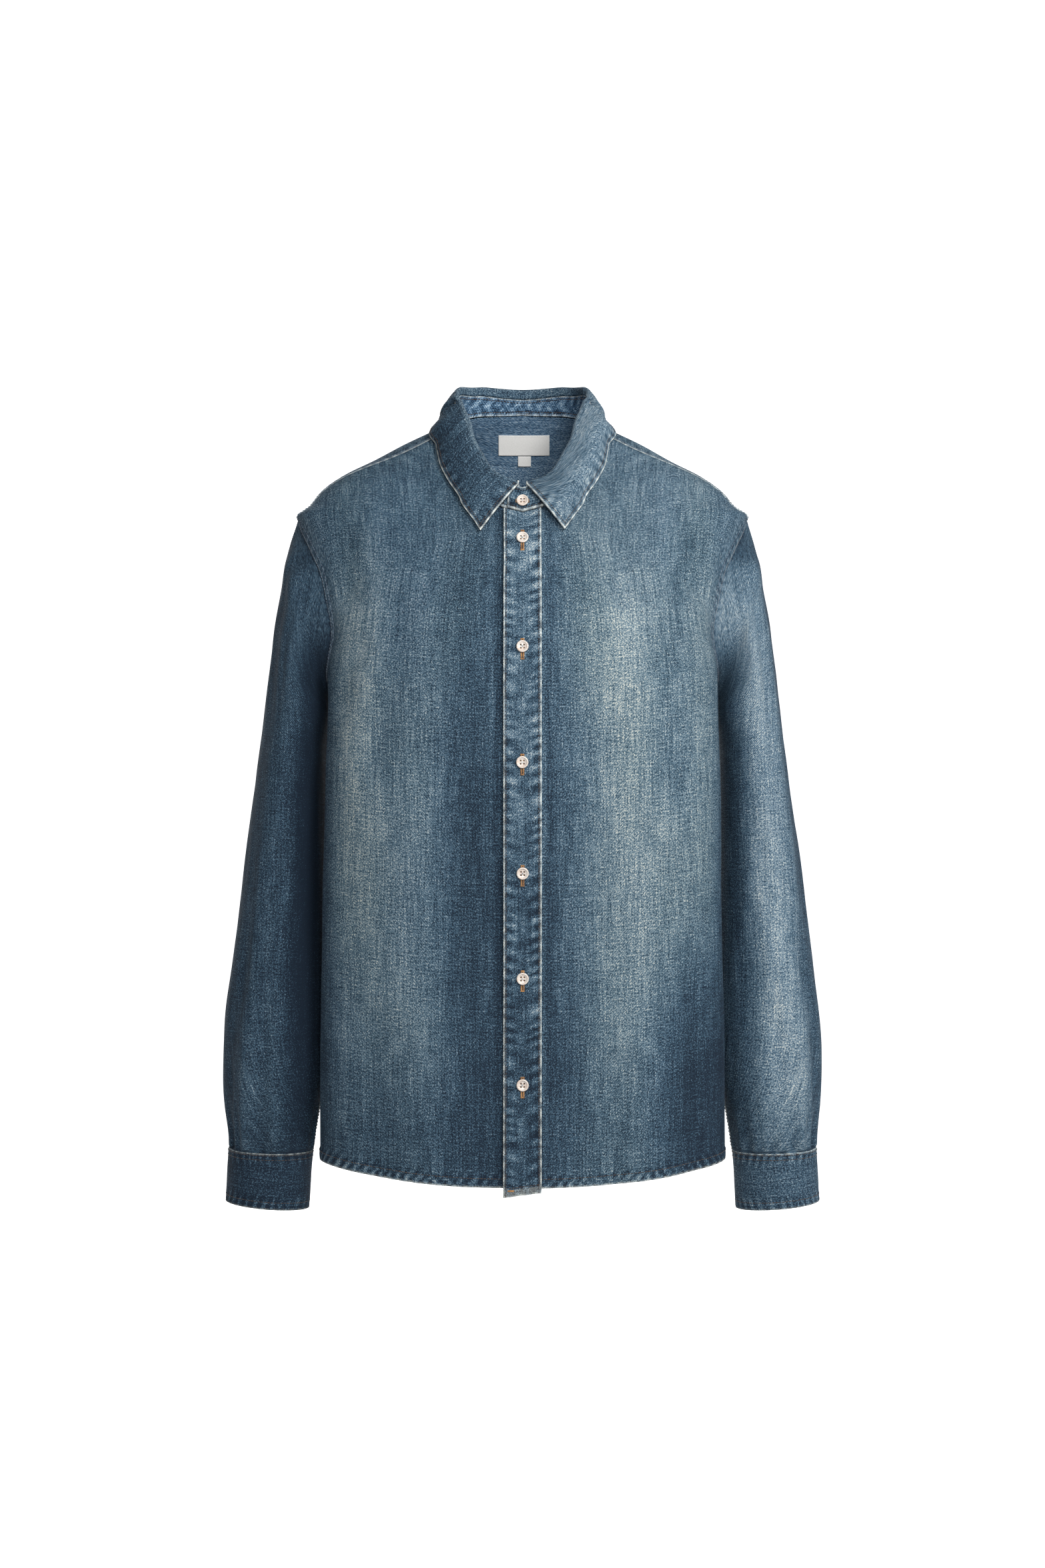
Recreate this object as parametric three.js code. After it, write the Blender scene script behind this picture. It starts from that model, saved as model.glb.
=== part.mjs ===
// A long-sleeved denim shirt, buttoned up and filled out as if worn, with nobody in it.
// Millimetres. Z is up, the front faces -Y and the wearer's left side is +X.
// The origin lies midway between the two points where shoulder and neck meet.

import * as THREE from 'three';

// Thicknesses and gaps
const CLOTH = 1.2; // one layer of denim
const DOUBLED = 2.2; // two pressed layers: collar, stand and cuffs
const PLACKET_THICK = 2;
const TAPE = 1; // woven label tape
const SEAM_GAP = 0.36; // between pieces sewn edge to edge
const LAP = 0.4; // between pieces that lie on each other
const HEM_FOLD = 0.5; // the turned hem is this much fuller on each side
const HEM_DEPTH = 10;
const HEM_STEP = 1.5; // over which the hem's fullness ends

// The front opening: the left front laps over the right
const PLACKET_WIDE = 35;
const FRONT_OVERLAP = 16.5; // each front runs this far past the centre line
const UNDER_LAP = -(CLOTH + HEM_FOLD + LAP); // lift of the right front below the left one
const PLACKET_DROP = 6; // the placket ends this far below the hem

// The body as level sections: half width, and how far forward and back it reaches.
// "side" is the depth of the widest point.
const BODY = [
  { z: 30, half: 46, front: 2, side: 8, back: 47 },
  { z: 9, half: 70, front: -6, side: 8, back: 58 },
  { z: 0, half: 88, front: -14, side: 8, back: 63 },
  { z: -13, half: 115, front: -23, side: 8, back: 71 },
  { z: -29, half: 144, front: -35, side: 8, back: 80 },
  { z: -45, half: 175, front: -47, side: 8, back: 88 },
  { z: -61, half: 195, front: -58, side: 7, back: 95 },
  { z: -74, half: 205, front: -67, side: 6, back: 100 },
  { z: -84, half: 217, front: -73, side: 5, back: 103 },
  { z: -110, half: 212, front: -87, side: 0, back: 110 },
  { z: -140, half: 204, front: -98, side: -8, back: 116 },
  { z: -170, half: 196, front: -107, side: -16, back: 120 },
  { z: -208, half: 186.5, front: -116, side: -26, back: 122 },
  { z: -250, half: 186, front: -121, side: -34, back: 122 },
  { z: -357, half: 188.5, front: -123, side: -38, back: 119 },
  { z: -470, half: 190.5, front: -120, side: -38, back: 112 },
  { z: -610, half: 192.5, front: -119, side: -38, back: 112 },
  { z: -720, half: 192, front: -122, side: -38, back: 118 },
];
const FRONT_ROUNDNESS = 2.5; // exponents of the sections' rounded outline
const BACK_ROUNDNESS = 2.1;

// Soft folds of the body, as straight troughs (depth below 0) and ridges (above 0)
const FOLD_FACING = 0.3; // a fold fades out where its face turns to the side, as a sine
const BODY_FOLDS = [
  { face: 'front', x0: -166, z0: -108, x1: -161, z1: -165, wide: 13, depth: -3 },
  { face: 'front', x0: -115, z0: -188, x1: -134, z1: -319, wide: 17, depth: -2.5 },
  { face: 'front', x0: -87, z0: -18, x1: -101, z1: -46, wide: 9, depth: -1.6 },
  { face: 'front', x0: 157, z0: -118, x1: 133, z1: -230, wide: 19, depth: -4.2 },
  { face: 'front', x0: 133, z0: -230, x1: 145, z1: -340, wide: 20, depth: -3 },
  { face: 'front', x0: -96, z0: -560, x1: -90, z1: -740, wide: 22, depth: 2.5 },
  { face: 'front', x0: 118, z0: -590, x1: 124, z1: -740, wide: 24, depth: 2.5 },
  { face: 'back', x0: -104, z0: -120, x1: -88, z1: -330, wide: 24, depth: -4 },
  { face: 'back', x0: 110, z0: -130, x1: 90, z1: -350, wide: 22, depth: -4 },
  { face: 'back', x0: -60, z0: -440, x1: -74, z1: -740, wide: 28, depth: 4 },
  { face: 'back', x0: 48, z0: -420, x1: 66, z1: -740, wide: 30, depth: 4 },
  { face: 'back', x0: 4, z0: -480, x1: 0, z1: -740, wide: 24, depth: -4 },
];

// Seams on the body, as places: angle round the body (front -90, side 0, back 90) and height
const SIDE_SEAM = 18;
const ARMHOLE = [
  { turn: 0, angle: -8, z: -86 },
  { turn: 30, angle: -21, z: -118 },
  { turn: 60, angle: -26, z: -148 },
  { turn: 90, angle: -25, z: -180 },
  { turn: 120, angle: -20, z: -210 },
  { turn: 150, angle: -6, z: -238 },
  { turn: 180, angle: SIDE_SEAM, z: -252 },
  { turn: 210, angle: 32, z: -236 },
  { turn: 240, angle: 37, z: -200 },
  { turn: 270, angle: 37, z: -160 },
  { turn: 300, angle: 32, z: -122 },
  { turn: 330, angle: 22, z: -95 },
  { turn: 360, angle: -8, z: -86 },
];
const NECK = [
  { part: 0, angle: -90, z: -89 },
  { part: 0.117, angle: -82.5, z: -80 },
  { part: 0.26, angle: -76, z: -57 },
  { part: 0.42, angle: -66, z: -28 },
  { part: 0.526, angle: -52, z: -8 },
  { part: 0.56, angle: -42, z: -2 },
  { part: 0.596, angle: -33, z: 3 },
  { part: 0.64, angle: -5, z: 9 },
  { part: 0.765, angle: 28, z: 15 },
  { part: 0.843, angle: 48, z: 19 },
  { part: 1, angle: 90, z: 22 },
];
const NECK_AT_SHOULDER_SEAM = 0.56;
const SHOULDER_SEAM = [
  { part: 0, angle: -42, z: -2 },
  { part: 0.12, angle: -40, z: -16 },
  { part: 0.4, angle: -30, z: -36 },
  { part: 0.68, angle: -18, z: -54 },
  { part: 1, angle: -8, z: -86 },
];
const BACK_YOKE_SEAM = { centre: -73, droop: 3 };
const HEM = { centre: -714, side: -697, halfWidth: 190 };

// How finely the seams are divided, so that neighbours share their points
const TURNS = 24; // round an armhole
const UNDERARM = 12; // of them, on the front
const YOKE_END = 3; // of them, on the yoke
const SIDE_ROWS = 14;
const NECK_ROWS = 7; // along the neck of one front
const FRONT_COLUMNS = 11;
const BACK_COLUMNS = 16;

// The sleeve as tilted rings from the armhole down: outer and inner point, depth and half depth
const SLEEVE = [
  { outX: 227, outZ: -120, inX: 189, inZ: -254, y: 4, deep: 60 },
  { outX: 233.5, outZ: -154, inX: 193, inZ: -259, y: 7, deep: 65 },
  { outX: 240, outZ: -187, inX: 194, inZ: -266, y: 10, deep: 69 },
  { outX: 244, outZ: -219, inX: 192, inZ: -278, y: 12, deep: 71 },
  { outX: 248.5, outZ: -252, inX: 190, inZ: -294, y: 14, deep: 72 },
  { outX: 253, outZ: -290, inX: 190, inZ: -315, y: 15, deep: 72 },
  { outX: 259, outZ: -335, inX: 190, inZ: -345, y: 16, deep: 71 },
  { outX: 268, outZ: -400, inX: 190, inZ: -400, y: 16, deep: 68 },
  { outX: 275, outZ: -460, inX: 190, inZ: -460, y: 13, deep: 65 },
  { outX: 282, outZ: -520, inX: 190, inZ: -520, y: 8, deep: 62 },
  { outX: 288, outZ: -570, inX: 190, inZ: -570, y: 3, deep: 58 },
  { outX: 289, outZ: -615, inX: 191.5, inZ: -615, y: -1, deep: 54 },
  { outX: 287.5, outZ: -650, inX: 196, inZ: -650, y: -4, deep: 50 },
  { outX: 284, outZ: -678, inX: 200.5, inZ: -678, y: -6, deep: 44 },
  { outX: 283, outZ: -692.3, inX: 202.5, inZ: -694.6, y: -7, deep: 38.5 },
];
const SLEEVE_ROWS = 24;
const SLEEVE_CLEAR = 2.2; // between sleeve and body
const TURN_PER_MM = 0.25; // a millimetre of height counts as this many degrees in a fold's width
const SLEEVE_FOLDS = [
  { side: -1, turn0: 38, z0: -113, turn1: 44, z1: -240, wide: 9, depth: -2.6 },
  { side: -1, turn0: 48, z0: -530, turn1: 18, z1: -680, wide: 9, depth: -3.4 },
  { side: -1, turn0: 84, z0: -590, turn1: 78, z1: -690, wide: 9, depth: -2.2 },
  { side: 1, turn0: 44, z0: -105, turn1: 52, z1: -420, wide: 12, depth: 2.2 },
  { side: 1, turn0: 46, z0: -520, turn1: 20, z1: -680, wide: 9, depth: -3.2 },
  { side: 1, turn0: 86, z0: -600, turn1: 80, z1: -690, wide: 9, depth: -2.2 },
  { side: -1, turn0: 262, z0: -330, turn1: 282, z1: -440, wide: 12, depth: -3 },
  { side: 1, turn0: 258, z0: -350, turn1: 280, z1: -450, wide: 12, depth: -3 },
  { side: -1, turn0: 322, z0: -600, turn1: 316, z1: -690, wide: 9, depth: -3 },
  { side: 1, turn0: 322, z0: -600, turn1: 316, z1: -690, wide: 9, depth: -3 },
];

// Cuffs: rings at the top and the foot, an open band that laps over itself at the back
const CUFF = [
  { outX: 283, outZ: -692.3, inX: 202.5, inZ: -694.6, y: -7, deep: 38.5 },
  { outX: 285.5, outZ: -743, inX: 206, inZ: -750, y: -8, deep: 36 },
];
const CUFF_START = 285; // turn of the end that lies underneath
const CUFF_LAP = 32; // degrees
const CUFF_RISE = { from: 250, to: 345 }; // where the outer end climbs over the other, in degrees
const CUFF_BUTTON = { down: 0.5, swing: 360 + 0.45 * CUFF_LAP };
const CUFF_STEPS = 40;
const CUFF_ROWS = 3;
const SLIT = { turn0: 253, turn1: 284, top: -552, short: 0.05 }; // the faced slit above the cuff

// Collar
const STAND_HEIGHT = [
  { part: 0, height: 27 },
  { part: 0.5, height: 29 },
  { part: 1, height: 15.5 },
];
const STAND_TILT = [
  { part: 0, degrees: 17 },
  { part: 0.6, degrees: 17 },
  { part: 1, degrees: 9 },
];
const STAND_END = 14.5; // past the centre line
const STAND_TUCK = { from: 0.07, to: 0.17 }; // where the right end leaves the left one's underside
const STAND_ROWS = 2;
const NECK_AXIS_Y = -12; // the stand leans toward this depth
const LEAF_START = 4; // from the centre line
const LEAF_RISE = [
  { part: 0, rise: 1.5 },
  { part: 0.5, rise: 4 },
  { part: 1, rise: 7 },
];
const LEAF_EDGE = [
  { part: 0, angle: -79.5, z: -107, lift: 6 },
  { part: 0.178, angle: -72.5, z: -70, lift: 5 },
  { part: 0.393, angle: -53, z: -20, lift: 4.5 },
  { part: 0.478, angle: -10, z: 3.5, lift: 4 },
  { part: 0.64, angle: 30, z: 5, lift: 4 },
  { part: 0.82, angle: 60, z: 6, lift: 4 },
  { part: 1, angle: 90, z: 7, lift: 4.5 },
];
const LEAF_ROLL = [50, 90, 130]; // degrees round the fold at its top
const LEAF_BULGE = 2.5;
const LEAF_FALL_STEPS = 4;

// Tapes inside the yoke, both bare
const LABEL = { x0: -24, x1: 27, z0: -14, z1: 4.5 };
const SIZE_TAB = { x0: -4.5, x1: 8.5, z0: -24, z1: -14.6 };
const TAPE_STEPS = { across: 6, down: 2 };
const YOKE_CHORD = 0.4; // how far the yoke's flat faces cut inside its curve

// Buttons
const BUTTON = { radius: 5.7, thick: 2.4, rim: 1.6, dish: 0.7, sides: 14 };
const FRONT_BUTTONS = [-114, -216, -322, -424, -521, -619];

// Colours
const finish = (color, roughness) => (
  new THREE.MeshStandardMaterial({ color, roughness, metalness: 0 })
);
const DENIM = finish(0x55708a, 0.9);
const WORN_DENIM = finish(0x6d8698, 0.9);
const WOVEN_TAPE = finish(0xe9e7e0, 0.9);
const BUTTON_FINISH = finish(0xe6dcd2, 0.35);

const shirt = new THREE.Group();
const radians = THREE.MathUtils.degToRad;
const mix = THREE.MathUtils.lerp;
const smooth = THREE.MathUtils.smoothstep;

// A function that reads a table smoothly between its rows and never overshoots them
function reader(table, by) {
  const rows = [...table].sort((a, b) => a[by] - b[by]);
  const stops = rows.map((row) => row[by]);
  const names = Object.keys(rows[0]).filter((name) => name !== by);
  const slopes = Object.fromEntries(
    names.map((name) => [name, gentleSlopes(stops, rows.map((row) => row[name]))]),
  );
  return (at) => {
    const place = THREE.MathUtils.clamp(at, stops[0], stops.at(-1));
    const k = Math.max(1, stops.findIndex((stop) => stop >= place));
    const span = stops[k] - stops[k - 1];
    const t = (place - stops[k - 1]) / span;
    const values = {};
    for (const name of names) {
      const [a, b] = [rows[k - 1][name], rows[k][name]];
      const [da, db] = [slopes[name][k - 1] * span, slopes[name][k] * span];
      values[name] = a + t * (da + t * (3 * (b - a) - 2 * da - db + t * (2 * (a - b) + da + db)));
    }
    return values;
  };
}

function gentleSlopes(stops, values) {
  const rise = (k) => (values[k + 1] - values[k]) / (stops[k + 1] - stops[k]);
  return values.map((_, k) => {
    if (k === 0) return rise(0);
    if (k === values.length - 1) return rise(k - 1);
    const [before, after] = [rise(k - 1), rise(k)];
    return before * after <= 0 ? 0 : (2 * before * after) / (before + after);
  });
}

const bodyAt = reader(BODY, 'z');
const armholeAt = reader(ARMHOLE, 'turn');
const neckTable = reader(NECK, 'part');
const shoulderAt = reader(SHOULDER_SEAM, 'part');
const standHeight = reader(STAND_HEIGHT, 'part');
const standTilt = reader(STAND_TILT, 'part');
const leafRise = reader(LEAF_RISE, 'part');
const leafEdge = reader(LEAF_EDGE, 'part');

// The body's surface

function plainBodyPoint({ angle, z }) {
  const { half, front, side, back } = bodyAt(z);
  const [c, s] = [Math.cos(radians(angle)), Math.sin(radians(angle))];
  const n = s < 0 ? FRONT_ROUNDNESS : BACK_ROUNDNESS;
  const reach = (Math.abs(c) ** n + Math.abs(s) ** n) ** (-1 / n);
  const depth = s < 0 ? side - front : back - side;
  return new THREE.Vector3(half * reach * c, side + depth * reach * s, z);
}

function normalOf(pointAt, { angle, z }) {
  const [turn, rise] = [0.6, 1.2];
  const across = pointAt({ angle: angle + turn, z }).sub(pointAt({ angle: angle - turn, z }));
  const along = pointAt({ angle, z: z + rise }).sub(pointAt({ angle, z: z - rise }));
  return across.cross(along).normalize();
}

// How far along a fold's line a place lies, as a soft hump across the line
function hump(offX, offZ, lineX, lineZ, wide) {
  const length2 = lineX * lineX + lineZ * lineZ;
  const t = THREE.MathUtils.clamp((offX * lineX + offZ * lineZ) / length2, 0, 1);
  const away = Math.hypot(offX - t * lineX, offZ - t * lineZ);
  return Math.exp(-((away / wide) ** 2));
}

function bodyFold(point, angle) {
  const s = Math.sin(radians(angle));
  let lift = 0;
  for (const fold of BODY_FOLDS) {
    const facing = smooth(fold.face === 'front' ? -s : s, 0, FOLD_FACING);
    const [lineX, lineZ] = [fold.x1 - fold.x0, fold.z1 - fold.z0];
    lift += facing * fold.depth * hump(point.x - fold.x0, point.z - fold.z0, lineX, lineZ, fold.wide);
  }
  return lift;
}

function bodyPoint(place) {
  const point = plainBodyPoint(place);
  return point.addScaledVector(normalOf(plainBodyPoint, place), bodyFold(point, place.angle));
}

const bodyNormal = (place) => normalOf(bodyPoint, place);
const otherSide = ({ angle, z }) => ({ angle: 180 - angle, z });

// The angle at which the front or the back of the body passes a distance x from its centre
function angleAtX(x, z, face = 'front') {
  const n = face === 'front' ? FRONT_ROUNDNESS : BACK_ROUNDNESS;
  const share = (Math.abs(x) / bodyAt(z).half) ** n;
  const swing = THREE.MathUtils.radToDeg(Math.atan((share / (1 - share)) ** (1 / n))) * Math.sign(x);
  return face === 'front' ? -90 + swing : 90 - swing;
}

// How far out the side of the body reaches at a depth and height
function bodySideX(y, z) {
  const { half, front, side, back } = bodyAt(z);
  const n = y < side ? FRONT_ROUNDNESS : BACK_ROUNDNESS;
  const share = Math.abs(y - side) / (y < side ? side - front : back - side);
  return share < 1 ? half * (1 - share ** n) ** (1 / n) : 0;
}

// A cloth sheet: knots joined in cells, then thickened to a closed wall whose edges are
// drawn in by half a seam gap

class Sheet {
  knots = [];

  faces = [];

  knot(point, normal, outer = 0, inner = outer - CLOTH) {
    this.knots.push({ point, normal, outer, inner, draw: new THREE.Vector3() });
    return this.knots.length - 1;
  }

  // Rows of knot numbers; a round sheet joins each row's end to its start
  cells(rows, round = false) {
    for (let i = 1; i < rows.length; i += 1) {
      const count = rows[i].length - (round ? 0 : 1);
      for (let j = 0; j < count; j += 1) {
        const k = (j + 1) % rows[i].length;
        const [a, b, c, d] = [rows[i - 1][j], rows[i - 1][k], rows[i][k], rows[i][j]];
        this.faces.push([a, b, c], [a, c, d]);
      }
    }
    return this;
  }

  // Edges with a face on one side only, each with the corner across from it
  rim() {
    const open = new Map();
    for (const [a, b, c] of this.faces) {
      for (const [from, to, across] of [[a, b, c], [b, c, a], [c, a, b]]) {
        if (!open.delete(`${to} ${from}`)) open.set(`${from} ${to}`, { from, to, across });
      }
    }
    return [...open.values()];
  }

  drawIn(rim) {
    const pulls = this.knots.map(() => []);
    for (const { from, to, across } of rim) {
      const edge = this.knots[to].point.clone().sub(this.knots[from].point);
      for (const end of [from, to]) {
        const pull = edge.clone().cross(this.knots[end].normal).normalize();
        const inward = this.knots[across].point.clone().sub(this.knots[end].point);
        pulls[end].push(pull.dot(inward) < 0 ? pull.negate() : pull);
      }
    }
    pulls.forEach((pair, k) => {
      if (!pair.length) return;
      const sum = pair.reduce((total, pull) => total.add(pull), new THREE.Vector3());
      const share = Math.max(0.5, 1 + (pair.length > 1 ? pair[0].clone().dot(pair[1]) : 0));
      this.knots[k].draw.copy(sum).multiplyScalar(SEAM_GAP / 2 / share);
    });
  }

  geometry() {
    const rim = this.rim();
    this.drawIn(rim);
    const side = (lift) => this.knots.flatMap((knot) => (
      knot.point.clone().addScaledVector(knot.normal, knot[lift]).add(knot.draw).toArray()
    ));
    const count = this.knots.length;
    const index = [];
    for (const [a, b, c] of this.faces) {
      index.push(a, b, c, a + count, c + count, b + count);
    }
    for (const { from, to } of rim) {
      // Neighbours split their facing rims alike, from the lower end, so that they stay apart
      const rising = this.knots[from].point.z < this.knots[to].point.z;
      if (rising) index.push(to, from, to + count, from, from + count, to + count);
      else index.push(to, from, from + count, to, from + count, to + count);
    }
    return closedGeometry([...side('outer'), ...side('inner')], index);
  }
}

// A geometry whose faces point out, whichever way its corners were listed
function closedGeometry(positions, index) {
  const corner = (k) => new THREE.Vector3().fromArray(positions, 3 * k);
  let volume = 0;
  for (let k = 0; k < index.length; k += 3) {
    volume += corner(index[k]).dot(corner(index[k + 1]).cross(corner(index[k + 2])));
  }
  const outward = volume > 0 ? index : [...index].reverse();
  const geometry = new THREE.BufferGeometry();
  geometry.setAttribute('position', new THREE.Float32BufferAttribute(positions, 3));
  geometry.setIndex(outward);
  geometry.computeVertexNormals();
  return geometry;
}

function addPiece(name, geometry, material = DENIM) {
  const mesh = new THREE.Mesh(geometry, material);
  mesh.name = name;
  shirt.add(mesh);
  return mesh;
}

const steps = (count) => Array.from({ length: count + 1 }, (_, k) => k / count);

// Places inside four edges that share their corners, by Coons' rule
function fillPlaces(bottom, top, left, right) {
  const [rows, columns] = [left.length - 1, bottom.length - 1];
  return steps(rows).map((v, i) => steps(columns).map((u, j) => {
    const blend = (name) => mix(bottom[j][name], top[j][name], v) + mix(left[i][name], right[i][name], u)
      - mix(mix(bottom[0][name], bottom[columns][name], u), mix(top[0][name], top[columns][name], u), v);
    return { angle: blend('angle'), z: blend('z') };
  }));
}

// The sleeves

function ringPoint(ring, turn) {
  const [c, s] = [Math.cos(radians(turn)), Math.sin(radians(turn))];
  const x = mix(ring.inX, ring.outX, (1 + c) / 2);
  const z = mix(ring.inZ, ring.outZ, (1 + c) / 2);
  return new THREE.Vector3(x, ring.y - ring.deep * s, z);
}

function ringNormal(ring, turn) {
  const [runX, runZ] = [ring.outX - ring.inX, ring.outZ - ring.inZ];
  const reach = Math.hypot(runX, runZ);
  const c = (2 * Math.cos(radians(turn))) / reach ** 2;
  const s = Math.sin(radians(turn)) / ring.deep;
  return new THREE.Vector3(c * runX, -s, c * runZ).normalize();
}

function sleeveFold(side, turn, z) {
  let lift = 0;
  for (const fold of SLEEVE_FOLDS.filter((row) => row.side === side)) {
    const offTurn = ((turn - fold.turn0 + 540) % 360) - 180;
    lift += fold.depth * hump(
      offTurn,
      (z - fold.z0) * TURN_PER_MM,
      fold.turn1 - fold.turn0,
      (fold.z1 - fold.z0) * TURN_PER_MM,
      fold.wide,
    );
  }
  return lift;
}

// Rows of points down one sleeve, worked out for the +X side and mirrored at the end
function sleevePoints(side) {
  const spines = steps(TURNS).slice(0, TURNS).map((part) => {
    const turn = 360 * part;
    const start = plainBodyPoint(armholeAt(turn));
    const rest = SLEEVE.map((ring) => {
      const point = ringPoint(ring, turn);
      return point.addScaledVector(ringNormal(ring, turn), sleeveFold(side, turn, point.z));
    });
    return new THREE.CatmullRomCurve3([start, ...rest], false, 'centripetal');
  });
  return steps(SLEEVE_ROWS).map((part, i) => spines.map((spine) => {
    const point = spine.getPoint(part);
    const clear = SLEEVE_CLEAR * smooth(part, 0, 1 / SLEEVE_ROWS);
    const inHollow = i > 0 && point.z < -100;
    if (inHollow) point.x = Math.max(point.x, bodySideX(point.y, point.z) + clear);
    point.x *= side;
    return point;
  }));
}

function netNormals(rows, side) {
  return rows.map((row, i) => row.map((point, j) => {
    const above = rows[Math.max(0, i - 1)][j];
    const below = rows[Math.min(rows.length - 1, i + 1)][j];
    const before = row[(j + row.length - 1) % row.length];
    const after = row[(j + 1) % row.length];
    const round = after.clone().sub(before);
    return round.cross(below.clone().sub(above)).multiplyScalar(side).normalize();
  }));
}

const SIDES = [{ name: 'left', sign: 1 }, { name: 'right', sign: -1 }];

// Each armhole's seam: points and the shared direction in which both walls are cut
for (const side of SIDES) {
  side.rows = sleevePoints(side.sign);
  side.normals = netNormals(side.rows, side.sign);
  side.armhole = side.rows[0].map((point, k) => {
    const place = armholeAt((360 * k) / TURNS);
    const facing = side.sign > 0 ? place : otherSide(place);
    const normal = normalOf(plainBodyPoint, facing);
    return { place: facing, point, normal: normal.add(side.normals[0][k]).normalize() };
  });
}

// Adds the knots of one sheet that lie on the body
function bodyKnot(sheet, place, outer = 0, inner = outer - CLOTH) {
  return sheet.knot(bodyPoint(place), bodyNormal(place), outer, inner);
}

function armholeKnot(sheet, seam) {
  return sheet.knot(seam.point.clone(), seam.normal.clone());
}

// Seams shared by neighbours

function neckAt(part) {
  const { angle, z } = neckTable(Math.abs(part));
  return part < 0 ? { angle: -180 - angle, z } : { angle, z };
}

function partAtX(x) {
  let [low, high] = [0, 0.2];
  for (let k = 0; k < 30; k += 1) {
    const middle = (low + high) / 2;
    if (plainBodyPoint(neckAt(middle)).x < x) low = middle;
    else high = middle;
  }
  return low;
}

const NECK_START = partAtX(FRONT_OVERLAP);
const neckStops = steps(NECK_ROWS).map((t) => mix(NECK_START, NECK_AT_SHOULDER_SEAM, t));
const yokeStops = steps(BACK_COLUMNS / 2 + YOKE_END).map((t) => mix(NECK_AT_SHOULDER_SEAM, 1, t));

const hemHeight = (x) => mix(HEM.centre, HEM.side, (x / HEM.halfWidth) ** 2);
const sideHem = { angle: SIDE_SEAM, z: hemHeight(plainBodyPoint({ angle: SIDE_SEAM, z: HEM.side }).x) };
const underarm = armholeAt(180);
const hemRows = [0, HEM_DEPTH, HEM_DEPTH + HEM_STEP];
const sideSeam = [
  ...hemRows.map((rise) => ({ angle: SIDE_SEAM, z: sideHem.z + rise })),
  ...steps(SIDE_ROWS).slice(1).map((t) => ({
    angle: SIDE_SEAM,
    z: mix(sideHem.z + hemRows.at(-1), underarm.z, t),
  })),
];
const neckCorner = neckAt(NECK_START);
const frontHem = hemHeight(FRONT_OVERLAP);
const frontEdgeHeights = [
  ...hemRows.map((rise) => frontHem + rise),
  ...steps(SIDE_ROWS).slice(1).map((t) => mix(frontHem + hemRows.at(-1), underarm.z, t)),
  ...steps(UNDERARM - NECK_ROWS).slice(1).map((t) => mix(underarm.z, neckCorner.z, t)),
];
const hemLift = (row) => (row < hemRows.length - 1 ? HEM_FOLD : 0);

// Fronts

function frontPiece(side) {
  const mirrored = (place) => (side.sign > 0 ? place : otherSide(place));
  const edge = frontEdgeHeights.map((z) => ({ angle: angleAtX(FRONT_OVERLAP, z), z }));
  edge[edge.length - 1] = neckCorner;
  const centre = [...edge, ...neckStops.slice(1).map(neckAt)];
  const outside = [...sideSeam];
  for (let k = UNDERARM - 1; k >= 0; k -= 1) outside.push(armholeAt((360 * k) / TURNS));
  const hem = steps(FRONT_COLUMNS).map((t) => {
    const angle = mix(centre[0].angle, sideHem.angle, t);
    return { angle, z: hemHeight(plainBodyPoint({ angle, z: HEM.side }).x) };
  });
  [hem[0], hem[FRONT_COLUMNS]] = [centre[0], sideHem];
  const shoulder = steps(FRONT_COLUMNS).map(shoulderAt);
  const places = fillPlaces(hem, shoulder, centre, outside);

  const sheet = new Sheet();
  const lapLift = side.sign > 0 ? 0 : UNDER_LAP;
  const knots = places.map((row, i) => row.map((place, j) => {
    const onArmhole = j === FRONT_COLUMNS && i >= sideSeam.length - 1;
    if (onArmhole) return armholeKnot(sheet, side.armhole[UNDERARM - (i - sideSeam.length + 1)]);
    const lift = (j === 0 && i < edge.length ? lapLift : 0);
    const fuller = hemLift(i);
    return bodyKnot(sheet, mirrored(place), lift + (lift ? 0 : fuller), lift - CLOTH - fuller);
  }));
  const flap = edge.map((place, i) => {
    const centreZ = i === edge.length - 1 ? neckAt(0).z : place.z;
    const across = [{ angle: -180 - place.angle, z: place.z }, { angle: -90, z: centreZ }];
    const fuller = hemLift(i);
    const flapKnots = across.map((flapPlace) => (
      bodyKnot(sheet, mirrored(flapPlace), lapLift + (lapLift ? 0 : fuller), lapLift - CLOTH - fuller)
    ));
    return [...flapKnots, knots[i][0]];
  });
  sheet.cells(knots).cells(flap);
  return addPiece(`front_${side.name}`, sheet.geometry());
}

function placketPiece() {
  const sheet = new Sheet();
  const lift = HEM_FOLD + LAP;
  const heights = [frontHem - PLACKET_DROP, ...frontEdgeHeights];
  const columns = [-PLACKET_WIDE / 2, 0, PLACKET_WIDE / 2];
  const rows = heights.map((z, i) => columns.map((x) => {
    const top = i === heights.length - 1;
    const place = { angle: angleAtX(x, z), z: top ? neckAt(partAtX(Math.abs(x))).z : z };
    const under = i < hemRows.length ? lift : LAP;
    return bodyKnot(sheet, place, under + PLACKET_THICK, under);
  }));
  return addPiece('placket', sheet.cells(rows).geometry(), WORN_DENIM);
}

// Back and yoke

const yokeEnd = armholeAt(360 * (1 - YOKE_END / TURNS));
const backSeam = steps(BACK_COLUMNS).map((t) => {
  const across = 2 * t - 1;
  const angle = mix(yokeEnd.angle, 180 - yokeEnd.angle, t);
  const droop = BACK_YOKE_SEAM.droop * Math.sin(Math.PI * t);
  return { angle, z: mix(BACK_YOKE_SEAM.centre, yokeEnd.z, across ** 2) - droop };
});

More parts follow.
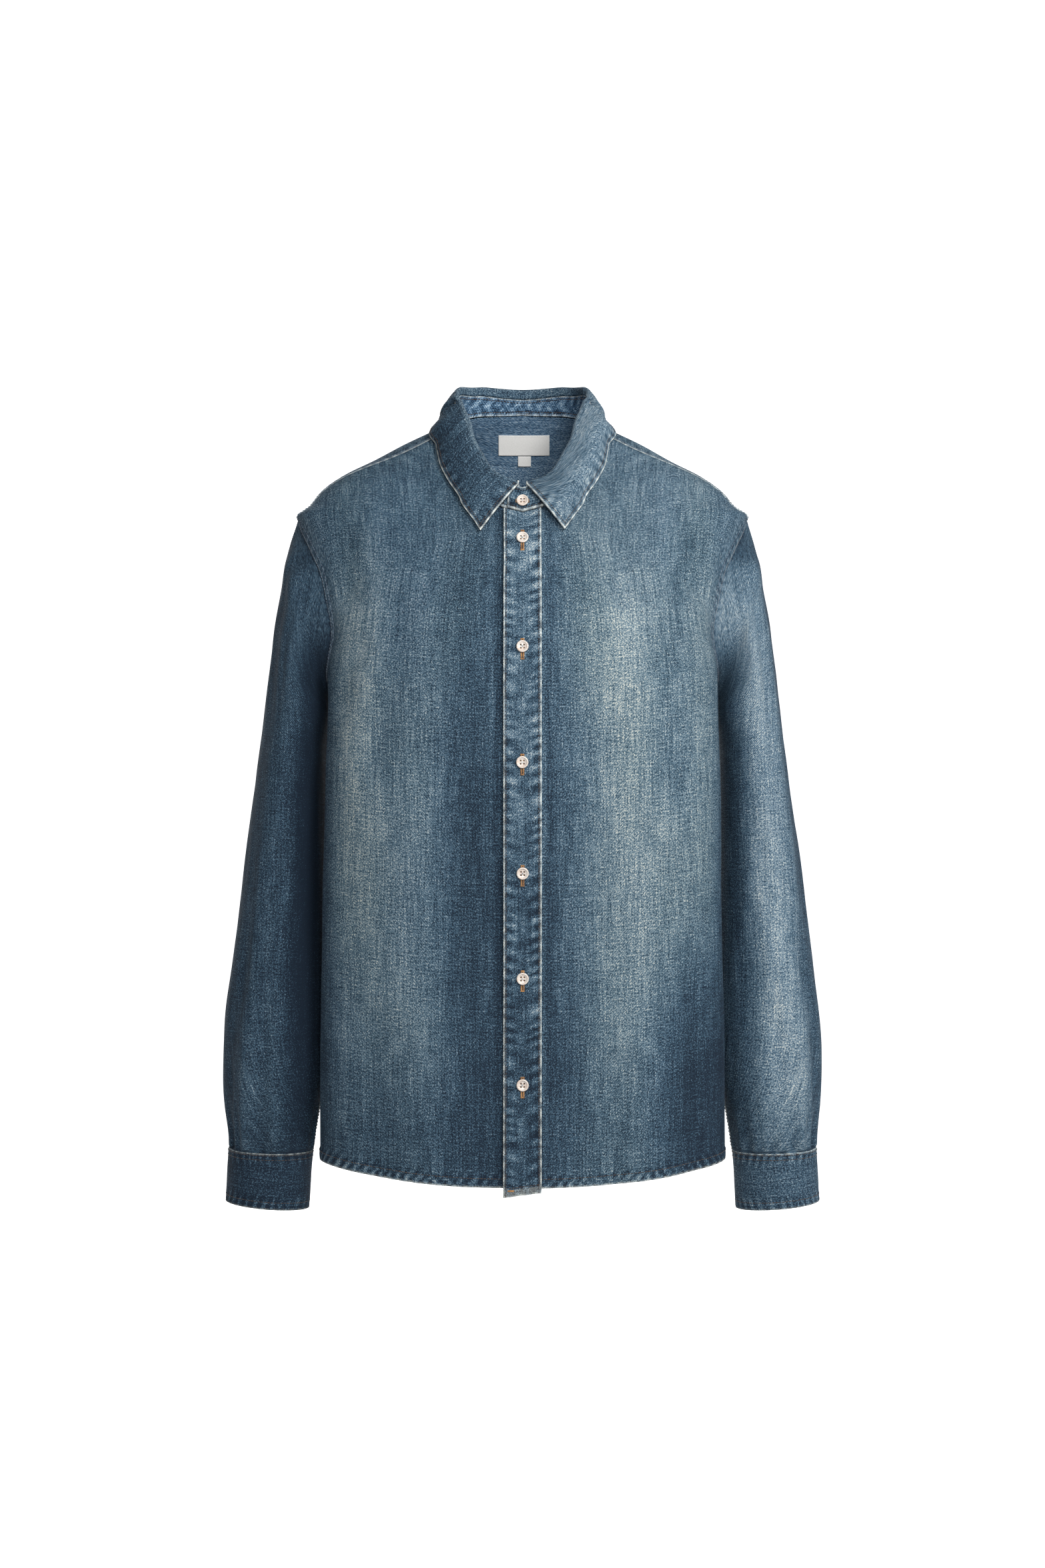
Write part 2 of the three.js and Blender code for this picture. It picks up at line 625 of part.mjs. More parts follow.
function backPiece() {
  const rightEdge = [...sideSeam];
  for (let k = UNDERARM + 1; k <= TURNS - YOKE_END; k += 1) rightEdge.push(armholeAt((360 * k) / TURNS));
  const leftEdge = rightEdge.map(otherSide);
  const hem = steps(BACK_COLUMNS).map((t) => {
    const angle = mix(SIDE_SEAM, 180 - SIDE_SEAM, t);
    return { angle, z: hemHeight(plainBodyPoint({ angle, z: HEM.side }).x) };
  });
  [hem[0], hem[BACK_COLUMNS]] = [rightEdge[0], leftEdge[0]];
  const places = fillPlaces(hem, backSeam, rightEdge, leftEdge);
  const sheet = new Sheet();
  const rows = places.map((row, i) => row.map((place, j) => {
    const edgeSide = j === 0 ? SIDES[0] : SIDES[1];
    const onEdge = j === 0 || j === BACK_COLUMNS;
    if (onEdge && i >= sideSeam.length - 1) {
      return armholeKnot(sheet, edgeSide.armhole[UNDERARM + (i - sideSeam.length + 1)]);
    }
    const fuller = hemLift(i);
    return bodyKnot(sheet, place, fuller, -CLOTH - fuller);
  }));
  return addPiece('back', sheet.cells(rows).geometry());
}

function yokePlaces() {
  const inner = [...yokeStops.map(neckAt), ...yokeStops.slice(0, -1).reverse().map(neckAt).map(otherSide)];
  const end = [];
  for (let k = TURNS; k > TURNS - YOKE_END; k -= 1) end.push(armholeAt((360 * k) / TURNS));
  const outer = [...end, ...backSeam, ...[...end].reverse().map(otherSide)];
  const seam = steps(FRONT_COLUMNS).map(shoulderAt);
  return fillPlaces(inner, outer, seam, seam.map(otherSide));
}

function yokePiece() {
  const sheet = new Sheet();
  const last = BACK_COLUMNS + 2 * YOKE_END;
  const rows = yokePlaces().map((row, i) => row.map((place, j) => {
    const onOuter = i === FRONT_COLUMNS;
    if (onOuter && j <= YOKE_END) return armholeKnot(sheet, SIDES[0].armhole[(TURNS - j) % TURNS]);
    if (onOuter && j >= last - YOKE_END) {
      return armholeKnot(sheet, SIDES[1].armhole[(TURNS - last + j) % TURNS]);
    }
    return bodyKnot(sheet, place);
  }));
  return addPiece('yoke', sheet.cells(rows).geometry());
}

function tapePiece(name, { x0, x1, z0, z1 }) {
  const sheet = new Sheet();
  const lift = -(CLOTH + LAP + YOKE_CHORD);
  const rows = steps(TAPE_STEPS.down).map((v) => steps(TAPE_STEPS.across).map((u) => {
    const z = mix(z0, z1, v);
    return bodyKnot(sheet, { angle: angleAtX(mix(x0, x1, u), z, 'back'), z }, lift, lift - TAPE);
  }));
  return addPiece(name, sheet.cells(rows).geometry(), WOVEN_TAPE);
}

// Sleeves, slit facings and cuffs

function sleevePiece(side) {
  const sheet = new Sheet();
  const rows = side.rows.map((row, i) => row.map((point, j) => {
    if (i === 0) return armholeKnot(sheet, side.armhole[j]);
    return sheet.knot(point, side.normals[i][j]);
  }));
  return addPiece(`sleeve_${side.name}`, sheet.cells(rows, true).geometry());
}

// The slit's facing lies on the sleeve's own points, moved out
function slitFacing(side) {
  const columns = [];
  for (let k = 0; k < TURNS; k += 1) {
    const turn = (360 * k) / TURNS;
    if (turn >= SLIT.turn0 - 1 && turn <= SLIT.turn1 + 2) columns.push(k);
  }
  const sheet = new Sheet();
  const rows = side.rows.map((row, i) => i).filter((i) => side.rows[i][columns[0]].z < SLIT.top)
    .map((i) => columns.map((k) => {
      const short = i === SLEEVE_ROWS ? SLIT.short : 0; // ends just above the cuff
      const point = side.rows[i][k].clone().lerp(side.rows[i - 1][k], short);
      return sheet.knot(point, side.normals[i][k], LAP + CLOTH, LAP);
    }));
  return addPiece(`sleeve_placket_${side.name}`, sheet.cells(rows).geometry(), WORN_DENIM);
}

function cuffRing(v) {
  const [top, foot] = CUFF;
  return Object.fromEntries(Object.keys(top).map((name) => [name, mix(top[name], foot[name], v)]));
}

const cuffLift = (swing) => (DOUBLED + LAP) * smooth(swing, CUFF_RISE.from, CUFF_RISE.to);

function cuffKnot(side, v, swing) {
  const ring = cuffRing(v);
  const turn = CUFF_START - swing;
  const [point, normal] = [ringPoint(ring, turn), ringNormal(ring, turn)];
  point.addScaledVector(normal, cuffLift(swing));
  point.x *= side.sign;
  normal.x *= side.sign;
  return { point, normal };
}

function cuffPiece(side) {
  const sheet = new Sheet();
  const rows = steps(CUFF_ROWS).map((v) => steps(CUFF_STEPS).map((t) => {
    const { point, normal } = cuffKnot(side, v, t * (360 + CUFF_LAP));
    return sheet.knot(point, normal, 0, -DOUBLED);
  }));
  return addPiece(`cuff_${side.name}`, sheet.cells(rows).geometry(), WORN_DENIM);
}

// Collar: a stand round the neck and a leaf folded over it.
// The way round runs from the right front (0) by the back (1) to the left front (2).

function neckFrame(way) {
  const part = way <= 1 ? way : 2 - way;
  const place = way <= 1 ? otherSide(neckAt(part)) : neckAt(part);
  const base = plainBodyPoint(place);
  const inward = new THREE.Vector3(-base.x, NECK_AXIS_Y - base.y, 0).normalize();
  const tilt = radians(standTilt(Math.abs(part)).degrees);
  const up = inward.clone().multiplyScalar(Math.sin(tilt)).setZ(Math.cos(tilt));
  const out = inward.clone().multiplyScalar(-Math.cos(tilt)).setZ(Math.sin(tilt));
  // The right end tucks under the left one where they cross at the front
  const tuck = -(DOUBLED + LAP) * (1 - smooth(way, STAND_TUCK.from, STAND_TUCK.to));
  return { base, up, out, tuck, part: Math.abs(part), height: standHeight(Math.abs(part)).height };
}

const endPart = partAtX(STAND_END);
const halfWay = [...neckStops, ...yokeStops.slice(1)];
const ways = [...halfWay, ...halfWay.slice(0, -1).reverse().map((part) => 2 - part)];
const standWays = [-endPart, 0, ...ways, 2, 2 + endPart];

function standPiece() {
  const sheet = new Sheet();
  const rows = steps(STAND_ROWS).map((v) => standWays.map((way) => {
    const { base, up, out, tuck, height } = neckFrame(way);
    const rise = mix(SEAM_GAP, height, v);
    return sheet.knot(base.clone().addScaledVector(up, rise), out, tuck, tuck - DOUBLED);
  }));
  return addPiece('collar_stand', sheet.cells(rows).geometry(), WORN_DENIM);
}

function leafProfile(way, part) {
  const { base, up, out, tuck, height } = neckFrame(way);
  const at = (rise, lift) => base.clone().addScaledVector(up, rise).addScaledVector(out, lift);
  const [neckSide, outside] = [tuck - DOUBLED, DOUBLED + 2 * LAP];
  const radius = (outside - neckSide) / 2;
  const shoulder = height + SEAM_GAP + leafRise(part).rise;
  const profile = [at(height + SEAM_GAP, neckSide), at(shoulder, neckSide)];
  for (const degrees of LEAF_ROLL) {
    const [c, s] = [Math.cos(radians(degrees)), Math.sin(radians(degrees))];
    profile.push(at(shoulder + radius * s, neckSide + radius * (1 - c)));
  }
  const { angle, z, lift } = leafEdge(part);
  const place = way <= 1 ? otherSide({ angle, z }) : { angle, z };
  const edge = bodyPoint(place).addScaledVector(bodyNormal(place), lift);
  const start = at(shoulder, outside);
  const fall = edge.clone().sub(start);
  const along = neckFrame(way + 0.01).base.sub(neckFrame(way - 0.01).base);
  const proud = along.cross(fall).normalize();
  if (proud.z < 0) proud.negate();
  for (const t of steps(LEAF_FALL_STEPS)) {
    const bulge = 4 * LEAF_BULGE * t * (1 - t);
    profile.push(start.clone().addScaledVector(fall, t).addScaledVector(proud, bulge));
  }
  return profile;
}

function leafPiece() {
  const start = partAtX(LEAF_START);
  const leafWays = [start, ...ways, 2 - start];
  const rows = leafWays.map((way) => {
    const part = way <= 1 ? way : 2 - way;
    return leafProfile(way, (part - start) / (1 - start));
  });
  const sheet = new Sheet();
  const knots = rows.map((row, i) => row.map((point, j) => {
    const around = rows[Math.min(rows.length - 1, i + 1)][j].clone().sub(rows[Math.max(0, i - 1)][j]);
    const down = row[Math.min(row.length - 1, j + 1)].clone().sub(row[Math.max(0, j - 1)]);
    return sheet.knot(point, around.cross(down).normalize().negate(), 0, -DOUBLED);
  }));
  return addPiece('collar_leaf', sheet.cells(knots).geometry(), WORN_DENIM);
}

// Buttons

const buttonProfile = [
  [0, 0],
  [BUTTON.radius - BUTTON.dish, 0],
  [BUTTON.radius, BUTTON.thick / 2],
  [BUTTON.radius - BUTTON.rim / 2, BUTTON.thick],
  [BUTTON.radius - BUTTON.rim, BUTTON.thick - BUTTON.dish],
  [0, BUTTON.thick - BUTTON.dish],
].map(([x, y]) => new THREE.Vector2(x, y));

function addButton(name, point, normal) {
  const mesh = addPiece(name, new THREE.LatheGeometry(buttonProfile, BUTTON.sides), BUTTON_FINISH);
  mesh.position.copy(point).addScaledVector(normal, LAP);
  mesh.quaternion.setFromUnitVectors(new THREE.Vector3(0, 1, 0), normal);
}

function addButtons() {
  const collar = neckFrame(2);
  addButton('button_collar', collar.base.clone().addScaledVector(collar.up, collar.height / 2), collar.out);
  FRONT_BUTTONS.forEach((z, k) => {
    const place = { angle: -90, z };
    const normal = bodyNormal(place);
    addButton(`button_${k + 1}`, bodyPoint(place).addScaledVector(normal, LAP + PLACKET_THICK), normal);
  });
  for (const side of SIDES) {
    const { point, normal } = cuffKnot(side, CUFF_BUTTON.down, CUFF_BUTTON.swing);
    addButton(`cuff_button_${side.name}`, point.addScaledVector(normal, LAP / 2), normal);
  }
}

for (const side of SIDES) frontPiece(side);
placketPiece();
backPiece();
yokePiece();
tapePiece('label', LABEL);
tapePiece('size_tab', SIZE_TAB);
for (const side of SIDES) {
  sleevePiece(side);
  slitFacing(side);
  cuffPiece(side);
}
standPiece();
leafPiece();
addButtons();

export default shirt;
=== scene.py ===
# A long-sleeved denim shirt, buttoned up and filled out as if worn, with nobody in it.
# The tables and lengths are in millimetres, as the cutter has them; Blender's objects are in metres.

import math
from collections import namedtuple
from functools import lru_cache

import bpy
import numpy as np
from bpy.props import FloatProperty, FloatVectorProperty, PointerProperty
from bpy.types import Operator, Panel, PropertyGroup
from mathutils import Matrix, Vector


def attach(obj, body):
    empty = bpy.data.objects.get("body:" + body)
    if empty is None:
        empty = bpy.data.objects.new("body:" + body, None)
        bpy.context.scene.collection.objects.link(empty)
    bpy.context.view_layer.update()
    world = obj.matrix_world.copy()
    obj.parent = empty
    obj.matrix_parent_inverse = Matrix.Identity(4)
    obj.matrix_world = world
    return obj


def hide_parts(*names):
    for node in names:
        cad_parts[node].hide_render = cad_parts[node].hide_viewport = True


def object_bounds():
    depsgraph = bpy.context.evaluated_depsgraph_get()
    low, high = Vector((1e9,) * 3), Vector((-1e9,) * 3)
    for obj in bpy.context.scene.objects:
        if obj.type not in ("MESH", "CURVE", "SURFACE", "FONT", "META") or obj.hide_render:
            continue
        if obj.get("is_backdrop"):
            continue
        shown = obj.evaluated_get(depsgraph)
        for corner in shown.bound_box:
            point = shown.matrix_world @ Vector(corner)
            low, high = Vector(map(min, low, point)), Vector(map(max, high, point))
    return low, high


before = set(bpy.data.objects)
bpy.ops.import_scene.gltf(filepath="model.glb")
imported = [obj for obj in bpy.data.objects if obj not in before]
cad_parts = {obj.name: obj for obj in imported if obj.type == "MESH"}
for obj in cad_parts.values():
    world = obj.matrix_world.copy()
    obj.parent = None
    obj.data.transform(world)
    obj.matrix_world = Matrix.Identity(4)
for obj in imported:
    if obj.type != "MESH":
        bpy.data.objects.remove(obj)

bl_info = {
    "name": "Denim Shirt",
    "version": (1, 0, 0),
    "blender": (4, 5, 0),
    "location": "View3D > Sidebar > Shirt",
    "description": "Builds a washed denim shirt from its cut pieces, with its sewing and buttons",
    "category": "Object",
}

CAD_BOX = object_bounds()
MM = 0.001
SIDES = {"left": 1, "right": -1}
LEVEL = np.array([0.0, 0.0, 1.0])

# Thicknesses and gaps
CLOTH = 1.2
DOUBLED = 2.2
PLACKET_THICK = 2.0
TAPE = 1.0
SEAM_GAP = 0.36
LAP = 0.4
HEM_FOLD = 0.5
HEM_DEPTH = 10.0
CELL = 2.9  # width of a cell of the cloth's net
EDGE_CELL = 0.6  # and beside an edge

# The front opening
PLACKET_WIDE = 35.0
FRONT_OVERLAP = 16.5
UNDER_LAP = -(CLOTH + HEM_FOLD + LAP)
PLACKET_DROP = 6.0


def mix(a, b, t):
    return a + (b - a) * t


def smooth(x, low, high):
    t = np.clip((x - low) / (high - low), 0, 1)
    return t * t * (3 - 2 * t)


def unit(v):
    return v / np.maximum(np.linalg.norm(v, axis=-1, keepdims=True), 1e-12)


class Table:
    """Rows of numbers, read smoothly between their stops and never beyond their values."""

    def __init__(self, rows):
        data = np.array(sorted(rows), float)
        self.stops, self.values = data[:, 0], data[:, 1:]
        rises = np.diff(self.values, axis=0) / np.diff(self.stops)[:, None]
        product, total = rises[:-1] * rises[1:], rises[:-1] + rises[1:]
        gentle = np.where(product > 0, 2 * product / np.where(product > 0, total, 1), 0)
        self.slopes = np.vstack([rises[:1], gentle, rises[-1:]])

    def __call__(self, at):
        place = np.clip(np.asarray(at, float), self.stops[0], self.stops[-1])
        k = np.clip(np.searchsorted(self.stops, place), 1, len(self.stops) - 1)
        span = self.stops[k] - self.stops[k - 1]
        t = ((place - self.stops[k - 1]) / span)[..., None]
        a, b = self.values[k - 1], self.values[k]
        da, db = self.slopes[k - 1] * span[..., None], self.slopes[k] * span[..., None]
        read = a + t * (da + t * (3 * (b - a) - 2 * da - db + t * (2 * (a - b) + da + db)))
        return np.moveaxis(read, -1, 0)


# The body as level sections: height, half width, how far forward it reaches, the depth of its
# widest point, and how far back it reaches
BODY = Table([
    (30, 46, 2, 8, 47),
    (9, 70, -6, 8, 58),
    (0, 88, -14, 8, 63),
    (-13, 115, -23, 8, 71),
    (-29, 144, -35, 8, 80),
    (-45, 175, -47, 8, 88),
    (-61, 195, -58, 7, 95),
    (-74, 205, -67, 6, 100),
    (-84, 217, -73, 5, 103),
    (-110, 212, -87, 0, 110),
    (-140, 204, -98, -8, 116),
    (-170, 196, -107, -16, 120),
    (-208, 186.5, -116, -26, 122),
    (-250, 186, -121, -34, 122),
    (-357, 188.5, -123, -38, 119),
    (-470, 190.5, -120, -38, 112),
    (-610, 192.5, -119, -38, 112),
    (-720, 192, -122, -38, 118),
])
FRONT_ROUNDNESS = 2.5
BACK_ROUNDNESS = 2.1

# Folds and creases of the body, as soft troughs (depth below 0) and ridges (above 0):
# face (-1 front, 1 back), start x and z, end x and z, half width, depth
BODY_FOLDS = [
    (-1, -166, -108, -161, -165, 13, -3.0),
    (-1, -115, -188, -134, -319, 17, -2.5),
    (-1, -87, -18, -101, -46, 9, -1.6),
    (-1, 157, -118, 133, -230, 19, -4.2),
    (-1, 133, -230, 145, -340, 20, -3.0),
    (-1, -96, -560, -90, -740, 22, 2.5),
    (-1, 118, -590, 124, -740, 24, 2.5),
    (1, -104, -120, -88, -330, 24, -4.0),
    (1, 110, -130, 90, -350, 22, -4.0),
    (1, -60, -440, -74, -740, 28, 4.0),
    (1, 48, -420, 66, -740, 30, 4.0),
    (1, 4, -480, 0, -740, 24, -4.0),
    (-1, -26, -108, -19, -142, 5, 1.0),
    (-1, -40, -96, -44, -150, 8, -0.9),
    (-1, 34, -118, 30, -176, 8, -0.9),
    (-1, -172, -262, -150, -214, 8, -1.5),
    (-1, -178, -300, -160, -258, 8, -1.2),
    (-1, 176, -268, 158, -222, 8, -1.6),
    (-1, 178, -318, 164, -268, 9, -1.2),
    (-1, -60, -330, -68, -520, 22, -1.2),
    (-1, 62, -300, 78, -520, 24, -1.4),
    (-1, -30, -560, -34, -720, 13, -1.5),
    (-1, -62, -590, -60, -720, 14, 1.3),
    (-1, -140, -560, -136, -720, 16, -1.6),
    (-1, 44, -570, 50, -720, 14, -1.4),
    (-1, 80, -600, 84, -720, 14, -1.5),
    (-1, 158, -540, 160, -720, 15, -1.4),
    (-1, 100, -86, 92, -170, 14, -1.1),
    (1, -150, -250, -118, -214, 10, -2.2),
    (1, 154, -262, 120, -222, 10, -2.2),
    (1, -158, -330, -128, -290, 11, -1.6),
    (1, 160, -342, 130, -300, 11, -1.6),
    (1, -30, -90, -34, -190, 9, -1.8),
    (1, 30, -90, 36, -180, 9, -1.6),
    (1, -6, -190, 2, -360, 22, 1.6),
    (1, -128, -470, -140, -700, 17, -2.2),
    (1, 124, -480, 136, -700, 18, -2.2),
    (1, -30, -560, -36, -710, 12, -1.6),
    (1, 32, -540, 34, -710, 12, -1.4),
]
ARMHOLE_CLEAR = 22.0  # folds die out this near an armhole
DEGREE_ROUND = 3.1  # about how far a degree of turn runs round the body


def lattice(u, v, seed):
    """Smooth noise from -1 to 1 over a plane, the same in every run."""
    iu, iv = np.floor(u), np.floor(v)
    fu, fv = u - iu, v - iv
    su, sv = fu * fu * (3 - 2 * fu), fv * fv * (3 - 2 * fv)

    def at(i, j):
        h = np.sin(i * 127.1 + j * 311.7 + seed * 74.7) * 43758.5453
        return 2 * (h - np.floor(h)) - 1

    low = mix(at(iu, iv), at(iu + 1, iv), su)
    high = mix(at(iu, iv + 1), at(iu + 1, iv + 1), su)
    return mix(low, high, sv)


def plain_body(angle, z):
    """The body's surface without folds; angles run from -90 (front) over 0 (side) to 90 (back)."""
    half, front, side, back = BODY(z)
    c, s = np.cos(np.radians(angle)), np.sin(np.radians(angle))
    n = np.where(s < 0, FRONT_ROUNDNESS, BACK_ROUNDNESS)
    reach = (np.abs(c) ** n + np.abs(s) ** n) ** (-1 / n)
    depth = np.where(s < 0, side - front, back - side)
    return np.stack([half * reach * c, side + depth * reach * s, z + 0 * c], -1)


def normal_of(surface, angle, z):
    across = surface(angle + 0.6, z) - surface(angle - 0.6, z)
    along = surface(angle, z + 1.2) - surface(angle, z - 1.2)
    return unit(np.cross(across, along))


def hump(off_x, off_z, line_x, line_z, wide):
    """A soft hump along a line, with round ends."""
    t = np.clip((off_x * line_x + off_z * line_z) / (line_x**2 + line_z**2), 0, 1)
    away = np.hypot(off_x - t * line_x, off_z - t * line_z)
    return np.exp(-((away / wide) ** 2))


def body_lift(point, angle):
    """How far the folds, and the cloth's own soft waves, stand out."""
    x, z, facing = point[..., 0], point[..., 2], np.sin(np.radians(angle))
    lift = np.zeros(x.shape)
    for face, x0, z0, x1, z1, wide, depth in BODY_FOLDS:
        lift += smooth(face * facing, 0, 0.3) * depth * hump(x - x0, z - z0, x1 - x0, z1 - z0, wide)
    round_body = angle * DEGREE_ROUND
    lift += 0.9 * lattice(round_body / 62, z / 150, 3)
    lift += 0.45 * lattice(round_body / 27 + z / 160, z / 64, 5)
    return lift * smooth(armhole_distance(point), 0, ARMHOLE_CLEAR) * smooth(-z, 6, 40)


def body(angle, z):
    point = plain_body(angle, z)
    return point + normal_of(plain_body, angle, z) * body_lift(point, angle)[..., None]


def body_normal(angle, z):
    return normal_of(body, angle, z)


def angle_at_x(x, z, face=-1):
    """The angle at which the front (-1) or back (1) passes a distance x from its centre."""
    n = FRONT_ROUNDNESS if face < 0 else BACK_ROUNDNESS
    share = (np.abs(x) / BODY(z)[0]) ** n
    swing = np.degrees(np.arctan((share / (1 - share)) ** (1 / n))) * np.sign(x)
    return face * 90 - face * swing


def body_side_x(y, z):
    half, front, side, back = BODY(z)
    n = np.where(y < side, FRONT_ROUNDNESS, BACK_ROUNDNESS)
    share = np.abs(y - side) / np.where(y < side, side - front, back - side)
    return half * np.maximum(1 - np.minimum(share, 1) ** n, 0) ** (1 / n)


# Seams on the body: turn or part along the seam, then angle round the body and height
SIDE_SEAM = 18.0
ARMHOLE = Table([
    (0, -8, -86),
    (30, -21, -118),
    (60, -26, -148),
    (90, -25, -180),
    (120, -20, -210),
    (150, -6, -238),
    (180, SIDE_SEAM, -252),
    (210, 32, -236),
    (240, 37, -200),
    (270, 37, -160),
    (300, 32, -122),
    (330, 22, -95),
    (360, -8, -86),
])
NECK = Table([
    (0, -90, -89),
    (0.117, -82.5, -80),
    (0.26, -76, -57),
    (0.42, -66, -28),
    (0.526, -52, -8),
    (0.56, -42, -2),
    (0.596, -33, 3),
    (0.64, -5, 9),
    (0.765, 28, 15),
    (0.843, 48, 19),
    (1, 90, 22),
])
NECK_AT_SHOULDER_SEAM = 0.56
SHOULDER_SEAM = Table([(0, -42, -2), (0.12, -40, -16), (0.4, -30, -36), (0.68, -18, -54), (1, -8, -86)])
BACK_YOKE_CENTRE, BACK_YOKE_DROOP = -73.0, 3.0
HEM_CENTRE, HEM_SIDE, HEM_HALF_WIDTH = -714.0, -697.0, 190.0
YOKE_END_TURN = 315.0  # where the back seam of the yoke meets the armhole


@lru_cache(maxsize=None)
def armhole_line():
    return plain_body(*ARMHOLE(np.linspace(0, 360, 145)[:-1]))


def armhole_distance(point):
    folded = point.copy()
    folded[..., 0] = np.abs(folded[..., 0])
    nearest = np.full(point.shape[:-1], 1e9)
    for seam_point in armhole_line():
        nearest = np.minimum(nearest, ((folded - seam_point) ** 2).sum(-1))
    return np.sqrt(nearest)


def neck_place(part):
    """Angle and height of the neck seam, from the front (0) to the back (1), negative across."""
    angle, z = NECK(np.abs(part))
    return np.where(part < 0, -180 - angle, angle), z


def part_at_x(x):
    """Where along the neck seam the front reaches a distance x from the centre."""
    low, high = np.zeros(np.shape(x)), np.full(np.shape(x), 0.2)
    for _ in range(30):
        middle = (low + high) / 2
        short = plain_body(*neck_place(middle))[..., 0] < x
        low, high = np.where(short, middle, low), np.where(short, high, middle)
    return low


def hem_height(x):
    return mix(HEM_CENTRE, HEM_SIDE, (x / HEM_HALF_WIDTH) ** 2)


NECK_START = float(part_at_x(FRONT_OVERLAP))
NECK_CORNER = np.array(neck_place(np.array(NECK_START)))
FRONT_HEM = hem_height(FRONT_OVERLAP)
SIDE_HEM = hem_height(plain_body(SIDE_SEAM, HEM_SIDE)[0])
UNDERARM_Z = -252.0


def along(table, at):
    """Places read from a table, as pairs of angle and height."""
    return np.stack(table(at), -1)


def fill_places(bottom, top, left, right, u, v):
    """Places inside four edges that share their corners, by Coons' rule."""
    u, v = u[None, :, None], v[:, None, None]
    edges = mix(bottom[None], top[None], v) + mix(left[:, None], right[:, None], u)
    corners = mix(mix(bottom[0], bottom[-1], u), mix(top[0], top[-1], u), v)
    return edges - corners


def evenly(length, cell=CELL):
    """Steps from 0 to 1 along a length, with narrow cells at both ends."""
    count = max(2, round(length / cell))
    steps = np.linspace(0, 1, count + 1)
    edge = EDGE_CELL / length
    return np.concatenate([[0, edge], steps[1:-1], [1 - edge, 1]])


class Cloth:
    """A net of points on a piece of cloth, in rows along its length, with its two faces' lifts."""

    def __init__(self, points, normals, outer=0.0, inner=-CLOTH, keep=None):
        self.points, self.normals = points, normals
        shape = points.shape[:2]
        self.outer = np.zeros(shape) + outer
        self.inner = np.zeros(shape) + inner
        self.tone, self.worn, self.aged = np.zeros(shape), np.zeros(shape), np.zeros(shape)
        self.keep = np.ones((shape[0] - 1, shape[1] - 1), bool) if keep is None else keep
        across = np.linalg.norm(np.diff(points, axis=1), axis=2)
        along_it = np.linalg.norm(np.diff(points, axis=0), axis=2)
        self.u = np.pad(np.cumsum(across, 1), ((0, 0), (1, 0)))
        self.v = np.pad(np.cumsum(along_it, 0), ((1, 0), (0, 0)))
        self.inside_drop = 0.0
        self.grain_across = False
        self.reverse_tone = REVERSE_TONE
        self.reverse_share = 0.4  # how much of the outer face's pattern shows inside

    def from_edge(self, edge):
        if edge in ("left", "right"):
            return self.u if edge == "left" else self.u[:, -1:] - self.u
        return self.v if edge == "bottom" else self.v[-1:] - self.v

    def along_edge(self, edge):
        ends = {"left": self.v[:, :1], "right": self.v[:, -1:], "bottom": self.u[:1], "top": self.u[-1:]}
        return ends[edge] + 0 * self.u

    def face(self):
        return self.points + self.normals * self.outer[..., None]

    def inset(self, edge, depth, start=0.0, end=1.0):
        """A line on the outer face, a distance in from an edge, with its normals."""
        distance, face, normals = self.from_edge(edge), self.face(), self.normals
        if edge in ("bottom", "top"):
            distance, face, normals = distance.T, face.swapaxes(0, 1), normals.swapaxes(0, 1)
        if edge in ("right", "top"):
            distance, face, normals = distance[:, ::-1], face[:, ::-1], normals[:, ::-1]
        count = len(distance)
        rows = range(round(start * (count - 1)), round(end * (count - 1)) + 1)
        read = lambda values: np.array([
            [np.interp(depth, distance[i], values[i, :, axis]) for axis in range(3)] for i in rows
        ])
        return read(face), unit(read(normals))

    def reverse(self):
        """The same cloth seen from inside."""
        return Cloth(self.points, -self.normals, -self.inner, -self.outer)


REVERSE_TONE = 0.16
INSIDE_BLUE = -0.8  # below 0, aged turns the cloth bluer

# How an edge or seam looks: how deep its puckers reach, their spacing, slant and height, how
# strongly they show, how worn its edge is and how wide that is, and its lift and width
Seam = namedtuple("Seam", "reach wave slant height contrast worn edge lift wide")
HEM = Seam(10, 9, 0.75, 0.5, 0.55, 0.8, 1.6, 0.0, HEM_DEPTH)
FELLED = Seam(10, 10, 0.1, 0.30, 0.26, 0.9, 1.6, 0.7, 7)
SHOULDER = Seam(8, 10, 0.1, 0.25, 0.18, 0.7, 1.6, 0.6, 7)
TUCKED = Seam(8, 11, 0.1, 0.22, 0.1, 0.0, 1.2, 0.0, 2)
PLACKET_SEAM = Seam(10, 12, 0.3, 0.42, 0.36, 1.0, 1.5, 0.3, 3.0)
COLLAR_SEAM = Seam(9, 11, 0.2, 0.40, 0.28, 1.0, 1.4, 0.35, 3.0)
STAND_SEAM = Seam(9, 11, 0.8, 0.3, 0.32, 0.9, 1.3, 0.2, 3.0)
CUFF_SEAM = Seam(10, 8.5, 0.3, 0.42, 0.36, 0.7, 1.3, 0.25, 3.0)

# Painted shade in the groove under a stitch line: how much darker the cloth is painted there, and half
# how wide that is
GROOVE_SHADE, GROOVE_WIDE = 0.15, 1.3


def rope(s, d, seam, seed):
    """Puckers along a seam, from -1 to 1, uneven in spacing and strength."""
    place = s + seam.slant * d
    phase = place / seam.wave + 0.6 * lattice(place / 27, 0 * s, seed)
    strength = 0.62 + 0.38 * lattice(place / 19, d / 12, seed + 1)
    return np.sin(2 * np.pi * phase) * strength


